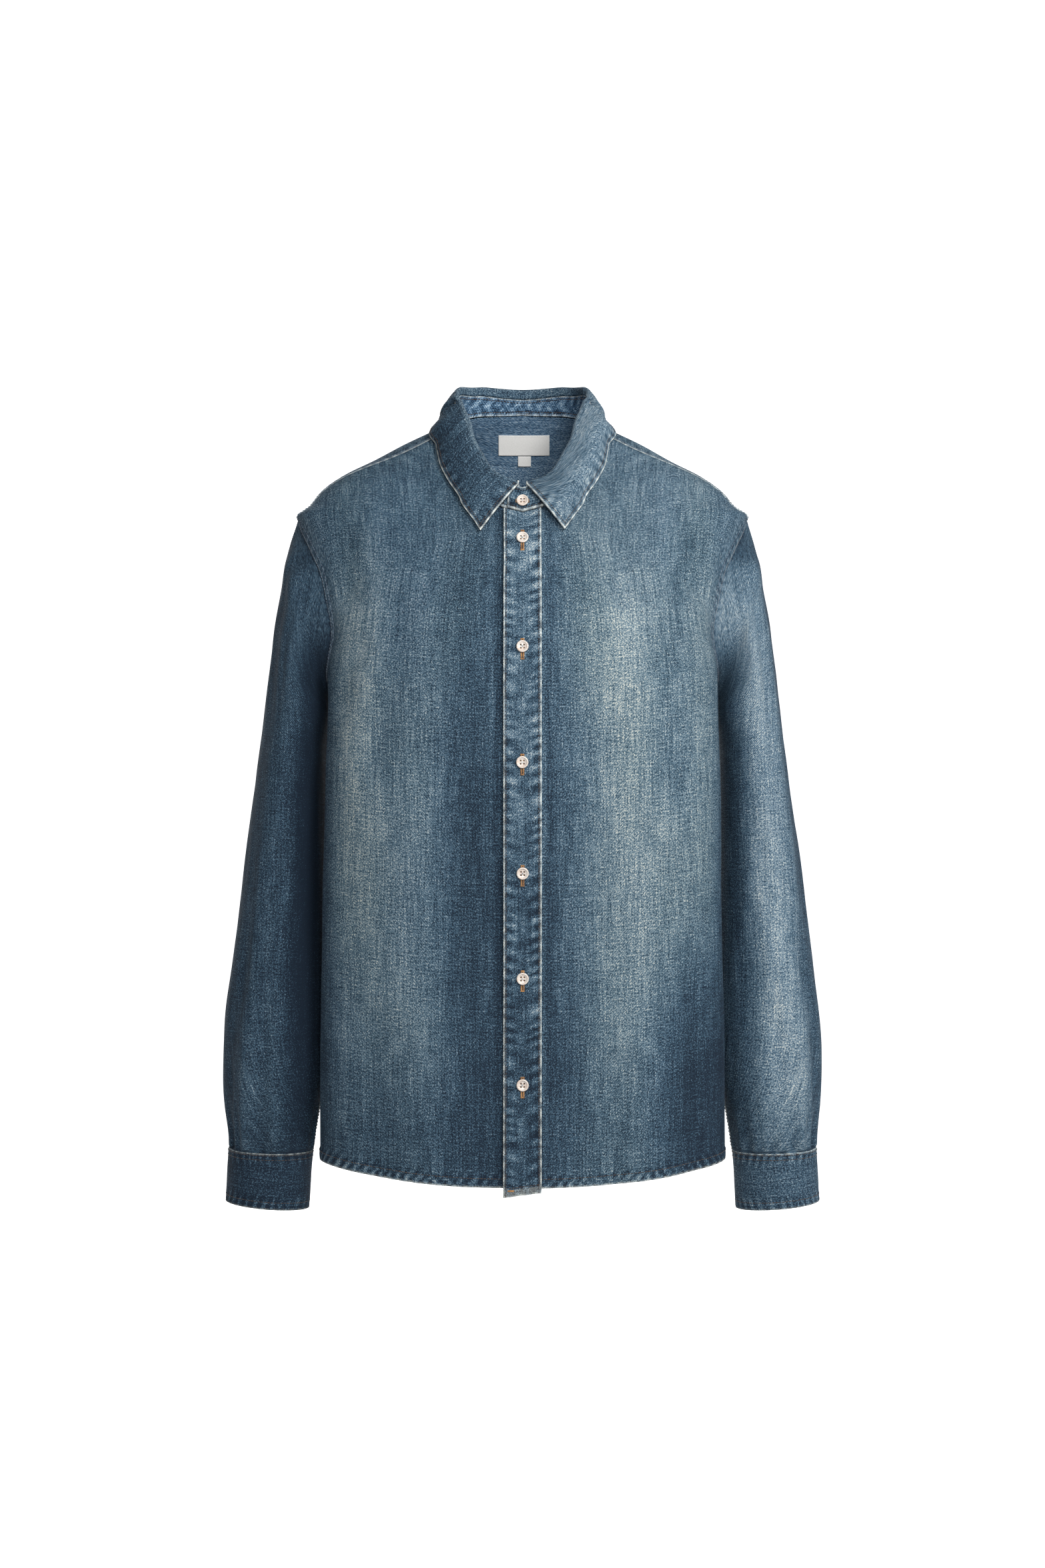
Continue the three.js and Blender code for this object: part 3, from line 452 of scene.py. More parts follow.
def dress_edge(cloth, edge, seam, seed, where=1.0):
    """Puckers, a ridge, painted shade in the groove of its stitch line, and worn threads along one edge
    of a piece.
    """
    d, s = cloth.from_edge(edge), cloth.along_edge(edge)
    wave = rope(s, d, seam, seed) * np.exp(-((d / seam.reach - 0.45) ** 2) / 0.5) * where
    cloth.outer += seam.height * wave * smooth(d, 0.2, 2.5)
    cloth.outer += where * seam.lift * (1 - smooth(d, seam.wide - 1.2, seam.wide + 0.6))
    cloth.tone += seam.contrast * wave
    # painted shade in the groove under the stitch line
    cloth.tone -= GROOVE_SHADE * where * np.exp(-(((d - seam.wide + 0.6) / GROOVE_WIDE) ** 2))
    worn = seam.worn * (0.8 + 0.35 * rope(s, 0 * d, seam, seed + 7)) * np.exp(-((d / seam.edge) ** 2))
    cloth.worn = np.maximum(cloth.worn, worn * where)


def dress_edges(cloth, seam, **seeds):
    for edge, seed in seeds.items():
        dress_edge(cloth, edge, seam, seed)


# Wash and painted light: soft patches that are paler (above 0) or darker; some are faded wash, and some
# are painted shade and light, among them painted shadow beside the placket's edges and painted shade
# down the sides: face, x, z, half width, half height, amount
BODY_WASH_AND_SHADE = [
    (-1, -21, -400, 5, 600, -0.20),
    (-1, 26, -400, 5, 600, -0.16),
    (-1, -152, -220, 26, 110, 0.14),
    (-1, -160, -380, 30, 170, 0.21),
    (-1, -96, -440, 40, 150, 0.13),
    (-1, -88, -250, 34, 130, 0.04),
    (-1, -122, -560, 52, 60, 0.06),
    (-1, 98, -210, 56, 100, 0.22),
    (-1, 94, -470, 44, 220, 0.29),
    (-1, 172, -300, 22, 200, 0.16),
    (-1, 140, -420, 36, 130, 0.05),
    (-1, -46, -480, 30, 280, -0.27),
    (-1, 34, -440, 22, 330, -0.08),
    (-1, -100, -680, 150, 70, -0.12),
    (-1, 50, -560, 26, 120, -0.08),
    (-1, 166, -640, 62, 120, -0.38),
    (-1, -186, -420, 12, 260, -0.20),
    (-1, 190, -420, 10, 260, -0.20),
    (-1, -110, -70, 80, 60, -0.06),
    (-1, 120, -70, 80, 60, 0.05),
    (1, -90, -260, 60, 190, 0.14),
    (1, 94, -280, 60, 200, 0.14),
    (1, 0, -420, 30, 300, -0.10),
    (1, 0, -650, 200, 70, -0.14),
    (1, -170, -420, 24, 260, -0.12),
    (1, 170, -420, 24, 260, -0.12),
]


# faded wash together with painted shade and light, each patch on the face it lies on
def body_wash_and_shade(point, normal):
    x, z = point[..., 0], point[..., 2]
    tone = np.zeros(x.shape)
    for face, x0, z0, wide, tall, amount in BODY_WASH_AND_SHADE:
        facing = smooth(face * normal[..., 1], -0.15, 0.35)
        tone += amount * facing * np.exp(-(((x - x0) / wide) ** 2) - ((z - z0) / tall) ** 2)
    return tone


def fold_wear_and_shade(lift):
    """High folds are paler from wear, and troughs darker with painted shade."""
    return 0.022 * lift


def body_cloth(places, lift_outer=0.0, lift_inner=-CLOTH, keep=None):
    angle, z = places[..., 0], places[..., 1]
    points = body(angle, z)
    normals = body_normal(angle, z)
    cloth = Cloth(points, normals, lift_outer, lift_inner, keep)
    plain = plain_body(angle, z)
    wash_and_shade = body_wash_and_shade(points, normals)
    # the tone takes faded wash with painted shade and light, and fold wear with painted shade in the
    # troughs; the tint of age follows the same wash and painted light
    cloth.tone += wash_and_shade + fold_wear_and_shade(body_lift(plain, angle))
    cloth.aged = np.clip(2.6 * wash_and_shade + 0.25 + 0.35 * lattice(cloth.u / 40, cloth.v / 130, 9), 0, 1)
    return cloth


# Rows of the fronts and the back run from the hem (0) over the underarm to the top
HEM_TOP = HEM_DEPTH + 1.5  # where the fold of the hem has ended, at row 2
HEM_RISES = np.array([0, 0.6, 2.2, 4, 6, 8, 9.6, 10.6, 11.5])
HEM_ROWS = np.interp(HEM_RISES, [0, HEM_DEPTH, HEM_TOP], [0, 1, 2])
SIDE_END = 16.0  # the row at the underarm
SIDE_STEPS, ARMHOLE_STEPS = 153, 6.6  # rows of points up the side, and in each row of the armhole
NECK_ROW = 21.0  # where the centre edge reaches the neck
FRONT_TOP, BACK_TOP = 28.0, 25.0
FRONT_WIDTH, BACK_WIDTH = 222, 400
ARMHOLE_TURN = 15.0  # degrees round the armhole from row to row


def rows_up(top):
    side = np.linspace(2, SIDE_END, SIDE_STEPS)[1:]
    above = np.linspace(SIDE_END, top, round((top - SIDE_END) * ARMHOLE_STEPS) + 1)[1:]
    rows = np.concatenate([HEM_ROWS, side, above])
    return np.concatenate([rows[:-1], [rows[-1] - 0.03], rows[-1:]])


def hem_rise(rows):
    return np.interp(rows, [0, 1, 2], [0, HEM_DEPTH, HEM_TOP])


def front_turn(rows):
    return 180 - ARMHOLE_TURN * (rows - SIDE_END)


def back_turn(rows):
    return 180 + ARMHOLE_TURN * (rows - SIDE_END)


def climb(rows, foot):
    """Heights over the hem's fold, then evenly up to the underarm."""
    above = mix(foot + HEM_TOP, UNDERARM_Z, (rows - 2) / (SIDE_END - 2))
    return np.where(rows < 2, foot + hem_rise(rows), above)


def side_edge(rows, turn_of):
    """The outer edge of a front or the back: the side seam, then up the armhole."""
    seam = np.stack([np.full(rows.shape, SIDE_SEAM), climb(rows, SIDE_HEM)], -1)
    armhole = along(ARMHOLE, np.clip(turn_of(rows), 0, 360))
    return np.where((rows <= SIDE_END)[:, None], seam, armhole)


def hem_fuller(rows):
    return HEM_FOLD * (1 - smooth(hem_rise(np.minimum(rows, 2)), HEM_DEPTH - 0.8, HEM_DEPTH + 0.8))


def centre_edge(rows):
    """The inner edge of a front: up beside the centre line, then round the neck."""
    high = mix(UNDERARM_Z, NECK_CORNER[1], (rows - SIDE_END) / (NECK_ROW - SIDE_END))
    z = np.where(rows < SIDE_END, climb(rows, FRONT_HEM), np.minimum(high, NECK_CORNER[1]))
    straight = np.stack([angle_at_x(FRONT_OVERLAP, z), z], -1)
    up_neck = np.clip((rows - NECK_ROW) / (FRONT_TOP - NECK_ROW), 0, 1)
    part = mix(NECK_START, NECK_AT_SHOULDER_SEAM, up_neck)
    return np.where((rows < NECK_ROW)[:, None], straight, np.stack(neck_place(part), -1))


def hem_edge(angle):
    height = hem_height(plain_body(angle, HEM_SIDE + 0 * angle)[..., 0])
    return np.stack([angle, height], -1)


def neck_drop(z, x):
    """Heights bent near the top, so that they follow the neck seam at a distance x."""
    neck_z = neck_place(part_at_x(np.abs(x)))[1][None]
    return z + (neck_z - NECK_CORNER[1]) * smooth(z, NECK_CORNER[1] - 24, NECK_CORNER[1])


@lru_cache(maxsize=None)
def front_cloth(side):
    rows = np.sort(np.append(rows_up(FRONT_TOP), NECK_ROW))
    u = evenly(FRONT_WIDTH)
    left, right = centre_edge(rows), side_edge(rows, front_turn)
    hem = hem_edge(mix(left[0, 0], SIDE_SEAM, u))
    hem[0], hem[-1] = left[0], right[0]
    shoulder = along(SHOULDER_SEAM, u)
    shoulder[0], shoulder[-1] = left[-1], right[-1]
    main = fill_places(hem, shoulder, left, right, u, rows / FRONT_TOP)

    # The flap runs on past the centre line, as far as the neck
    flap_x = np.concatenate([[-FRONT_OVERLAP, 0.6 - FRONT_OVERLAP], np.linspace(-14, 14, 11)])
    z_flap = neck_drop(left[:, 1:2] + 0 * flap_x, flap_x)
    flap = np.stack([angle_at_x(flap_x[None] + 0 * z_flap, z_flap), z_flap], -1)
    places = np.concatenate([flap, main], 1)
    keep = np.ones((len(rows) - 1, places.shape[1] - 1), bool)
    keep[rows[:-1] >= NECK_ROW - 1e-6, : len(flap_x)] = False

    if side < 0:
        places[..., 0] = 180 - places[..., 0]
    fuller = hem_fuller(rows)[:, None]
    x = np.abs(plain_body(places[..., 0], places[..., 1])[..., 0])
    own = np.where(np.arange(places.shape[1])[None] < len(flap_x), 0, x)
    below_neck = (1 - smooth(rows, NECK_ROW, NECK_ROW + 1))[:, None]
    under = (1 - smooth(own, FRONT_OVERLAP, FRONT_OVERLAP + 16)) * below_neck
    lap = UNDER_LAP * under if side < 0 else 0 * under
    cloth = body_cloth(places, lap + fuller * (lap > -0.1), lap - CLOTH - fuller, keep)
    join_armhole(cloth, side, rows, -1, front_turn)
    up_side, up_armhole = edge_shares(rows)
    dress_edge(cloth, "bottom", HEM, 11 + side)
    dress_edge(cloth, "right", TUCKED, 15 + side, up_side)
    dress_edge(cloth, "right", FELLED, 19 + side, up_armhole)
    dress_edge(cloth, "top", TUCKED, 23 + side)
    return cloth


def edge_shares(rows):
    """Where an outer edge is side seam, and where it is armhole."""
    below = (rows <= SIDE_END)[:, None]
    return below * smooth(rows, 0, 1.5)[:, None], ~below * 1.0


def join_armhole(cloth, side, rows, column, turn_of):
    """The last column along the armhole takes the direction that both walls are cut in."""
    on_it = rows > SIDE_END - 0.01
    cloth.normals[on_it, column] = armhole_normal(side, turn_of(rows[on_it]))


@lru_cache(maxsize=None)
def back_cloth():
    rows = rows_up(BACK_TOP)
    u = evenly(BACK_WIDTH)
    right = side_edge(rows, back_turn)
    left = right * [-1, 1] + [180, 0]
    hem = hem_edge(mix(SIDE_SEAM, 180 - SIDE_SEAM, u))
    hem[0], hem[-1] = right[0], left[0]
    seam = back_seam(u)
    seam[0], seam[-1] = right[-1], left[-1]
    places = fill_places(hem, seam, right, left, u, rows / BACK_TOP)
    fuller = hem_fuller(rows)[:, None]
    cloth = body_cloth(places, fuller, -CLOTH - fuller)
    join_armhole(cloth, 1, rows, 0, back_turn)
    join_armhole(cloth, -1, rows, -1, back_turn)
    up_side, up_armhole = edge_shares(rows)
    dress_edge(cloth, "bottom", HEM, 31)
    for edge, seed in (("left", 33), ("right", 37)):
        dress_edge(cloth, edge, FELLED, seed, up_side)
        dress_edge(cloth, edge, FELLED, seed + 2, up_armhole)
    dress_edge(cloth, "top", TUCKED, 41)
    return cloth


def back_seam(t):
    """The seam between back and yoke, from the left armhole to the right one."""
    end_angle, end_z = ARMHOLE(np.array(YOKE_END_TURN))
    across = 2 * t - 1
    z = mix(BACK_YOKE_CENTRE, end_z, across**2) - BACK_YOKE_DROOP * np.sin(np.pi * t)
    return np.stack([mix(end_angle, 180 - end_angle, t), z], -1)


# The yoke's columns run over both shoulders; the first and last few lie along the armholes
YOKE_COLUMNS, YOKE_END = 22, 3
YOKE_DEPTH, YOKE_LENGTH = 205, 560


@lru_cache(maxsize=None)
def yoke_cloth():
    v, u = evenly(YOKE_DEPTH), evenly(YOKE_LENGTH)
    columns = u * YOKE_COLUMNS
    half = np.minimum(columns, YOKE_COLUMNS - columns)
    far = columns > YOKE_COLUMNS / 2
    angle, z = neck_place(mix(NECK_AT_SHOULDER_SEAM, 1, half / (YOKE_COLUMNS / 2)))
    inner = np.stack([np.where(far, 180 - angle, angle), z], -1)
    end = along(ARMHOLE, np.clip(360 - ARMHOLE_TURN * half, YOKE_END_TURN, 360))
    end[far, 0] = 180 - end[far, 0]
    middle = back_seam(np.clip((columns - YOKE_END) / (YOKE_COLUMNS - 2 * YOKE_END), 0, 1))
    outer = np.where((half < YOKE_END)[:, None], end, middle)
    seam = along(SHOULDER_SEAM, v)
    places = fill_places(inner, outer, seam, seam * [-1, 1] + [180, 0], u, v)
    cloth = body_cloth(places)
    for side, ends in ((1, columns <= YOKE_END), (-1, columns >= YOKE_COLUMNS - YOKE_END)):
        cloth.normals[-1, ends] = armhole_normal(side, 360 - ARMHOLE_TURN * half[ends])
    ends = smooth(YOKE_END + 0.2 - half, 0, 0.4)[None]
    dress_edges(cloth, SHOULDER, left=43, right=47)
    dress_edge(cloth, "top", SHOULDER, 51, 1 - ends)
    dress_edge(cloth, "top", FELLED, 53, ends)
    dress_edge(cloth, "bottom", TUCKED, 55)
    cloth.grain_across = True
    # painted light: the yoke's inside, in the neck's shade, is painted paler
    cloth.reverse_tone = 0.17
    return cloth


# The sleeve as tilted rings down from the armhole: outer x and z, inner x and z, depth, half depth
SLEEVE = np.array([
    (227, -120, 189, -254, 4, 60),
    (233.5, -154, 193, -259, 7, 65),
    (240, -187, 194, -266, 10, 69),
    (244, -219, 192, -278, 12, 71),
    (248.5, -252, 190, -294, 14, 72),
    (253, -290, 190, -315, 15, 72),
    (259, -335, 190, -345, 16, 71),
    (268, -400, 190, -400, 16, 68),
    (275, -460, 190, -460, 13, 65),
    (282, -520, 190, -520, 8, 62),
    (288, -570, 190, -570, 3, 58),
    (289, -615, 191.5, -615, -1, 54),
    (287.5, -650, 196, -650, -4, 50),
    (284, -678, 200.5, -678, -6, 44),
    (283, -692.3, 202.5, -694.6, -7, 38.5),
])
SLEEVE_CLEAR = 1.5  # how far the sleeve stays off the body
ARMPIT = (180.0, -265.0, 78.0, 22.0, 8.0)  # fullness: turn, z, half widths, and how far in
SLEEVE_ROWS = 24
SLEEVE_STEPS, SLEEVE_ROUND = 209, 400
GATHERS, GATHER_LIFT = 13, 1.5  # gathers into the cuff: how many round the sleeve, how high
# Folds of a sleeve: side (0 for both), start turn and z, end turn and z, half width, depth
SLEEVE_FOLDS = [
    (-1, 38, -113, 44, -240, 9, -2.6),
    (-1, 48, -530, 18, -680, 9, -3.4),
    (-1, 84, -590, 78, -690, 9, -2.2),
    (1, 44, -105, 52, -420, 12, 2.2),
    (1, 46, -520, 20, -680, 9, -3.2),
    (1, 86, -600, 80, -690, 9, -2.2),
    (-1, 262, -330, 282, -440, 12, -3.0),
    (1, 258, -350, 280, -450, 12, -3.0),
    (0, 322, -600, 316, -690, 9, -3.0),
]
SLEEVE_CREASES = [
    (-1, 74, -150, 66, -250, 7, -1.2),
    (1, 70, -140, 64, -250, 7, -1.3),
    (-1, 96, -410, 70, -470, 9, -1.0),
    (1, 98, -420, 72, -480, 9, -1.0),
    (-1, 110, -500, 84, -560, 9, -1.1),
    (1, 112, -510, 88, -575, 9, -1.1),
    (-1, 60, -600, 52, -690, 6, 1.6),
    (1, 62, -600, 54, -690, 6, 1.6),
    (-1, 34, -630, 32, -690, 5, -1.6),
    (1, 36, -630, 34, -690, 5, -1.6),
    (-1, 106, -640, 104, -690, 6, 1.3),
    (1, 108, -640, 106, -690, 6, 1.3),
    (-1, 300, -380, 256, -430, 8, -1.6),
    (1, 304, -390, 260, -440, 8, -1.6),
    (-1, 296, -470, 262, -500, 9, -1.3),
    (1, 296, -480, 262, -515, 9, -1.3),
    (-1, 284, -250, 262, -330, 9, -1.4),
    (1, 286, -250, 262, -340, 9, -1.4),
    (0, 346, -640, 344, -690, 6, -1.6),
    (0, 226, -630, 230, -690, 6, -1.8),
]
TURN_SCALE = 0.25  # a degree of turn counts as this share of a millimetre of height


def ring_point(ring, turn):
    out_x, out_z, in_x, in_z, y, deep = ring
    c, s = np.cos(np.radians(turn)), np.sin(np.radians(turn))
    return np.stack([mix(in_x, out_x, (1 + c) / 2), y - deep * s, mix(in_z, out_z, (1 + c) / 2)], -1)


def ring_normal(ring, turn):
    out_x, out_z, in_x, in_z, _, deep = ring
    reach = np.hypot(out_x - in_x, out_z - in_z)
    c, s = np.cos(np.radians(turn)) / (reach / 2), np.sin(np.radians(turn)) / deep
    return unit(np.stack([c * (out_x - in_x) / reach, -s, c * (out_z - in_z) / reach], -1))


def turn_from(turn, start):
    """The shorter way round from one turn to another, in degrees."""
    return (turn - start + 540) % 360 - 180


def sleeve_lift(folds, side, turn, z):
    lift = np.zeros(np.broadcast(turn, z).shape)
    for which, turn0, z0, turn1, z1, wide, depth in folds:
        if which != -side:
            off_z, line_z = (z - z0) * TURN_SCALE, (z1 - z0) * TURN_SCALE
            lift += depth * hump(turn_from(turn, turn0), off_z, turn1 - turn0, line_z, wide)
    return lift


def spline_down(controls, part):
    """A smooth curve through rings of control points, the first index running down the sleeve."""
    last = len(controls) - 1
    place = np.clip(part * last, 0, last - 1e-9)
    k = np.floor(place).astype(int)
    t = (place - k)[:, None, None]
    before = np.concatenate([2 * controls[:1] - controls[1:2], controls])
    extended = np.concatenate([before, 2 * controls[-1:] - controls[-2:-1]])
    p0, p1, p2, p3 = (extended[k + shift] for shift in range(4))
    gap = lambda a, b: np.maximum(((b - a) ** 2).sum(-1, keepdims=True) ** 0.25, 1e-4)
    d0, d1, d2 = gap(p0, p1), gap(p1, p2), gap(p2, p3)
    m1 = ((p1 - p0) / d0 - (p2 - p0) / (d0 + d1) + (p2 - p1) / d1) * d1
    m2 = ((p2 - p1) / d1 - (p3 - p1) / (d1 + d2) + (p3 - p2) / d2) * d1
    return p1 + t * (m1 + t * (3 * (p2 - p1) - 2 * m1 - m2 + t * (2 * (p1 - p2) + m1 + m2)))


def sleeve_net(side, turn, part):
    """Points down one sleeve, worked out on the +X side, not yet mirrored."""
    start = plain_body(*ARMHOLE(turn % 360))
    rings = []
    for ring in SLEEVE:
        point = ring_point(ring, turn)
        lift = sleeve_lift(SLEEVE_FOLDS, side, turn, point[:, 2])
        rings.append(point + ring_normal(ring, turn) * lift[:, None])
    points = spline_down(np.array([start, *rings]), part)
    middle_turn, middle_z, wide, tall, fullness = ARMPIT
    off = ((turn - middle_turn) / wide)[None] ** 2 + ((points[..., 2] - middle_z) / tall) ** 2
    points[..., 0] -= fullness * np.exp(-off) * smooth(part, 0, 1 / SLEEVE_ROWS)[:, None]
    return clear_of_body(points, part)


def clear_of_body(points, part):
    """Sleeve points moved out where they would lie in the body."""
    clear = SLEEVE_CLEAR * smooth(part, 0, 1 / SLEEVE_ROWS)[:, None]
    low = (points[..., 2] < -100) & (part > 0)[:, None]
    pushed = np.maximum(points[..., 0], body_side_x(points[..., 1], points[..., 2]) + clear)
    points[..., 0] = np.where(low, pushed, points[..., 0])
    return points


def net_normals(points):
    down = np.gradient(points, axis=0)
    across = np.gradient(points, axis=1)
    return unit(np.cross(across, down))


@lru_cache(maxsize=None)
def armhole_table(side):
    turn = np.linspace(0, 360, 145)
    net = sleeve_net(side, turn, np.array([0, 0.5 / SLEEVE_ROWS]))
    net[:, -1] = net[:, 0]
    sleeve = unit(np.cross(np.gradient(net[0], axis=0), net[1] - net[0]))
    angle, z = ARMHOLE(turn)
    return turn, unit(normal_of(plain_body, angle, z) + sleeve)


def armhole_normal(side, turn):
    """The direction that both walls are cut in at the armhole; 360 is read as itself, not as 0."""
    turns, normals = armhole_table(side)
    read = unit(np.stack([np.interp(turn % 360.001, turns, normals[:, k]) for k in range(3)], -1))
    return read * [side, 1, 1]


# Wash and painted light of the sleeves: faded wash, painted shade where the sleeves turn away from the
# light, darkest on the wearer's right sleeve beside the body, and a painted highlight down the wearer's
# left sleeve: side (0 for both), turn, z, half width in degrees, half height, amount
SLEEVE_WASH_AND_SHADE = [
    (-1, 60, -420, 200, 900, -0.15),
    (-1, 20, -400, 22, 300, -0.06),
    (-1, 132, -420, 28, 320, -0.55),
    (-1, 84, -620, 34, 90, 0.06),
    (1, 80, -330, 36, 300, 0.28),
    (1, 70, -600, 40, 100, 0.18),
    (1, 24, -300, 26, 420, -0.24),
    (1, 130, -420, 20, 320, -0.20),
    (0, 270, -440, 50, 90, 0.18),
    (0, 190, -430, 40, 300, -0.12),
]


@lru_cache(maxsize=None)
def sleeve_cloth(side):
    part = np.concatenate([[0, 0.001], np.linspace(0, 1, SLEEVE_STEPS)[1:-1], [0.999, 1]])
    turn = 180 + 360 * evenly(SLEEVE_ROUND)
    points = sleeve_net(side, turn % 360, part)
    points[:, -1] = points[:, 0]
    normals = net_normals(points)
    closing = unit(normals[:, 0] + normals[:, -1])
    normals[:, 0], normals[:, -1] = closing, closing
    normals[0] = armhole_normal(1, turn)
    z = points[..., 2]
    around, down = turn[None] + 0 * z, part[:, None] + 0 * z
    lift = sleeve_lift(SLEEVE_CREASES, side, around % 360, z)
    close = smooth(np.minimum(turn - 180, 540 - turn), 0, 10)[None]
    lift += 0.8 * lattice(around / 17, z / 110, 61 + side) * close
    lift += 0.5 * lattice(around / 8 + z / 90, z / 46, 65 + side) * close
    gathers = np.sin(np.radians(around * GATHERS) + 2.2 * lattice(around / 30, 0 * z, 71 + side))
    lift += GATHER_LIFT * gathers * smooth(z, -625, -690) * close
    lift *= smooth(down, 0.0, 0.05) * (1 - smooth(down, 0.985, 1.0))
    inner_side = smooth(np.cos(np.radians(around)), 0.2, -0.6)
    lift = np.where(lift > 0, lift, lift * (1 - 0.6 * inner_side))
    points = clear_of_body(points + normals * lift[..., None], part)
    cloth = Cloth(points * [side, 1, 1], normals * [side, 1, 1])
    # faded wash, painted shade where the sleeve turns away, and a painted highlight
    for which, turn0, z0, wide, tall, amount in SLEEVE_WASH_AND_SHADE:
        if which != -side:
            off = turn_from(around, turn0)
            cloth.tone += amount * np.exp(-((off / wide) ** 2) - ((z - z0) / tall) ** 2)
    # folds paler from wear, troughs darker with painted shade
    cloth.tone += fold_wear_and_shade(lift + sleeve_lift(SLEEVE_FOLDS, side, around % 360, z))
    cloth.v = cloth.v[:, len(turn) // 2][:, None] + 0 * cloth.v
    dress_edge(cloth, "bottom", TUCKED, 73 + side)
    dress_edge(cloth, "left", FELLED, 77 + side)
    dress_edges(cloth, TUCKED, right=81 + side, top=85 + side)
    return cloth


# Cuffs: rings at the top and the foot
CUFF_TOP = SLEEVE[-1]
CUFF_FOOT = np.array((285.5, -743, 206, -750, -8, 36))
CUFF_START = 285.0
CUFF_LAP = 32.0
CUFF_BUTTON_SWING = 360 + CUFF_LAP * 0.45
CUFF_LENGTH, CUFF_DEEP = 262.0, 54.0
CUFF_TURN = 1.45  # degrees round the cuff for a millimetre


def cuff_point(side, v, swing):
    """A point and normal on a cuff; its outer end rises over the other."""
    ring = [mix(top, foot, v) for top, foot in zip(CUFF_TOP, CUFF_FOOT)]
    point, normal = ring_point(ring, CUFF_START - swing), ring_normal(ring, CUFF_START - swing)
    point = point + normal * ((DOUBLED + LAP) * smooth(swing, 250, 345))[..., None]
    return point * [side, 1, 1], normal * [side, 1, 1]


CUFF_SHADE_TONE = {1: -0.02, -1: -0.26}  # painted shade: the wearer's right cuff, on the side away from the light, is painted darker


@lru_cache(maxsize=None)
def cuff_cloth(side):
    """One cuff, an open strip lapped at the back of the wrist."""
    v = 1 - evenly(CUFF_DEEP, 2.0)
    swing = (360 + CUFF_LAP) * evenly(CUFF_LENGTH, 2.1)
    points, normals = cuff_point(side, v[:, None] + 0 * swing, swing[None] + 0 * v[:, None])
    cloth = Cloth(points, normals, 0.0, -DOUBLED)
    cloth.outer += 0.35 * lattice(cloth.u / 24, cloth.v / 17, 91 + side)
    # random mottle, and painted shade on the cuff away from the light
    cloth.tone += 0.05 * lattice(cloth.u / 30, cloth.v / 6, 93 + side) + CUFF_SHADE_TONE[side]
    dress_edges(cloth, CUFF_SEAM, bottom=95 + side, top=97 + side, left=99 + side, right=101 + side)
    cloth.grain_across = True
    cloth.reverse_tone = 0.04
    return cloth


# The faced slit above each cuff
SLIT_TURNS = (255.0, 285.0)
SLIT_MIDDLE, SLIT_TOP = 270.0, -552.0
SLIT_WIDTH, SLIT_LENGTH = 28, 140
SLIT_END = 0.997  # how far down the sleeve the facing reaches


@lru_cache(maxsize=None)
def slit_cloth(side):
    turn = mix(*SLIT_TURNS, evenly(SLIT_WIDTH, 1.8))
    part = np.linspace(0.55, 1, 400)
    spine = sleeve_net(side, np.array([SLIT_MIDDLE]), part)[:, 0, 2]
    start = np.interp(-SLIT_TOP, -spine, part)
    points = sleeve_net(side, turn, mix(start, SLIT_END, evenly(SLIT_LENGTH, 2.2)))
    normals = net_normals(points)
    lift = sleeve_lift(SLEEVE_CREASES, side, turn[None] + 0 * points[..., 2], points[..., 2])
    cloth = Cloth(points * [side, 1, 1], normals * [side, 1, 1], LAP + CLOTH, LAP)
    cloth.outer += np.maximum(lift, 0) + 0.9
    # the facing takes the sleeve's mean tone, painted shade included, a little paler
    cloth.tone += sleeve_cloth(side).tone.mean() + 0.05
    dress_edges(cloth, PLACKET_SEAM, left=103 + side, right=105 + side, bottom=107 + side)
    return cloth


FOOT_WORN = 0.42  # the hem at the placket's foot is worn pale
PLACKET_TILT = 4.5  # how much higher the foot's left end is, seen by the wearer
PLACKET_LENGTH = 620
PLACKET_TONES = (-0.11, 0.11)  # at the foot and at the top


@lru_cache(maxsize=None)
def placket_cloth():
    x = PLACKET_WIDE * (evenly(PLACKET_WIDE, 1.75) - 0.5)
    t = evenly(PLACKET_LENGTH, 1.9)[:, None]
    foot = FRONT_HEM - PLACKET_DROP + PLACKET_TILT * (x - x.mean()) / np.ptp(x)
    z = neck_drop(mix(foot, NECK_CORNER[1], t), x)
    angle = angle_at_x(x[None] + 0 * z, z)
    under = LAP + HEM_FOLD * (1 - smooth(z - FRONT_HEM, HEM_DEPTH - 0.8, HEM_DEPTH + 2))
    cloth = Cloth(body(angle, z), body_normal(angle, z), under + PLACKET_THICK, under)
    cloth.outer += 0.3 * lattice(cloth.u / 13, cloth.v / 26, 111)
    cloth.tone += mix(*PLACKET_TONES, smooth(z, -620, -120))
    cloth.tone += 0.14 * lattice(cloth.u / 8, cloth.v / 11, 113)
    cloth.tone += 0.05 * lattice(cloth.u / 16, cloth.v / 90, 115)
    dress_edges(cloth, PLACKET_SEAM, left=117, right=119, bottom=121)
    cloth.worn = np.maximum(cloth.worn, FOOT_WORN * (1 - smooth(cloth.from_edge("bottom"), 6.2, 8.0)))
    return cloth


def on_placket(x, z, lift):
    angle = angle_at_x(x, z)
    normal = body_normal(angle, z)
    return body(angle, z) + normal * (LAP + PLACKET_THICK + lift), normal


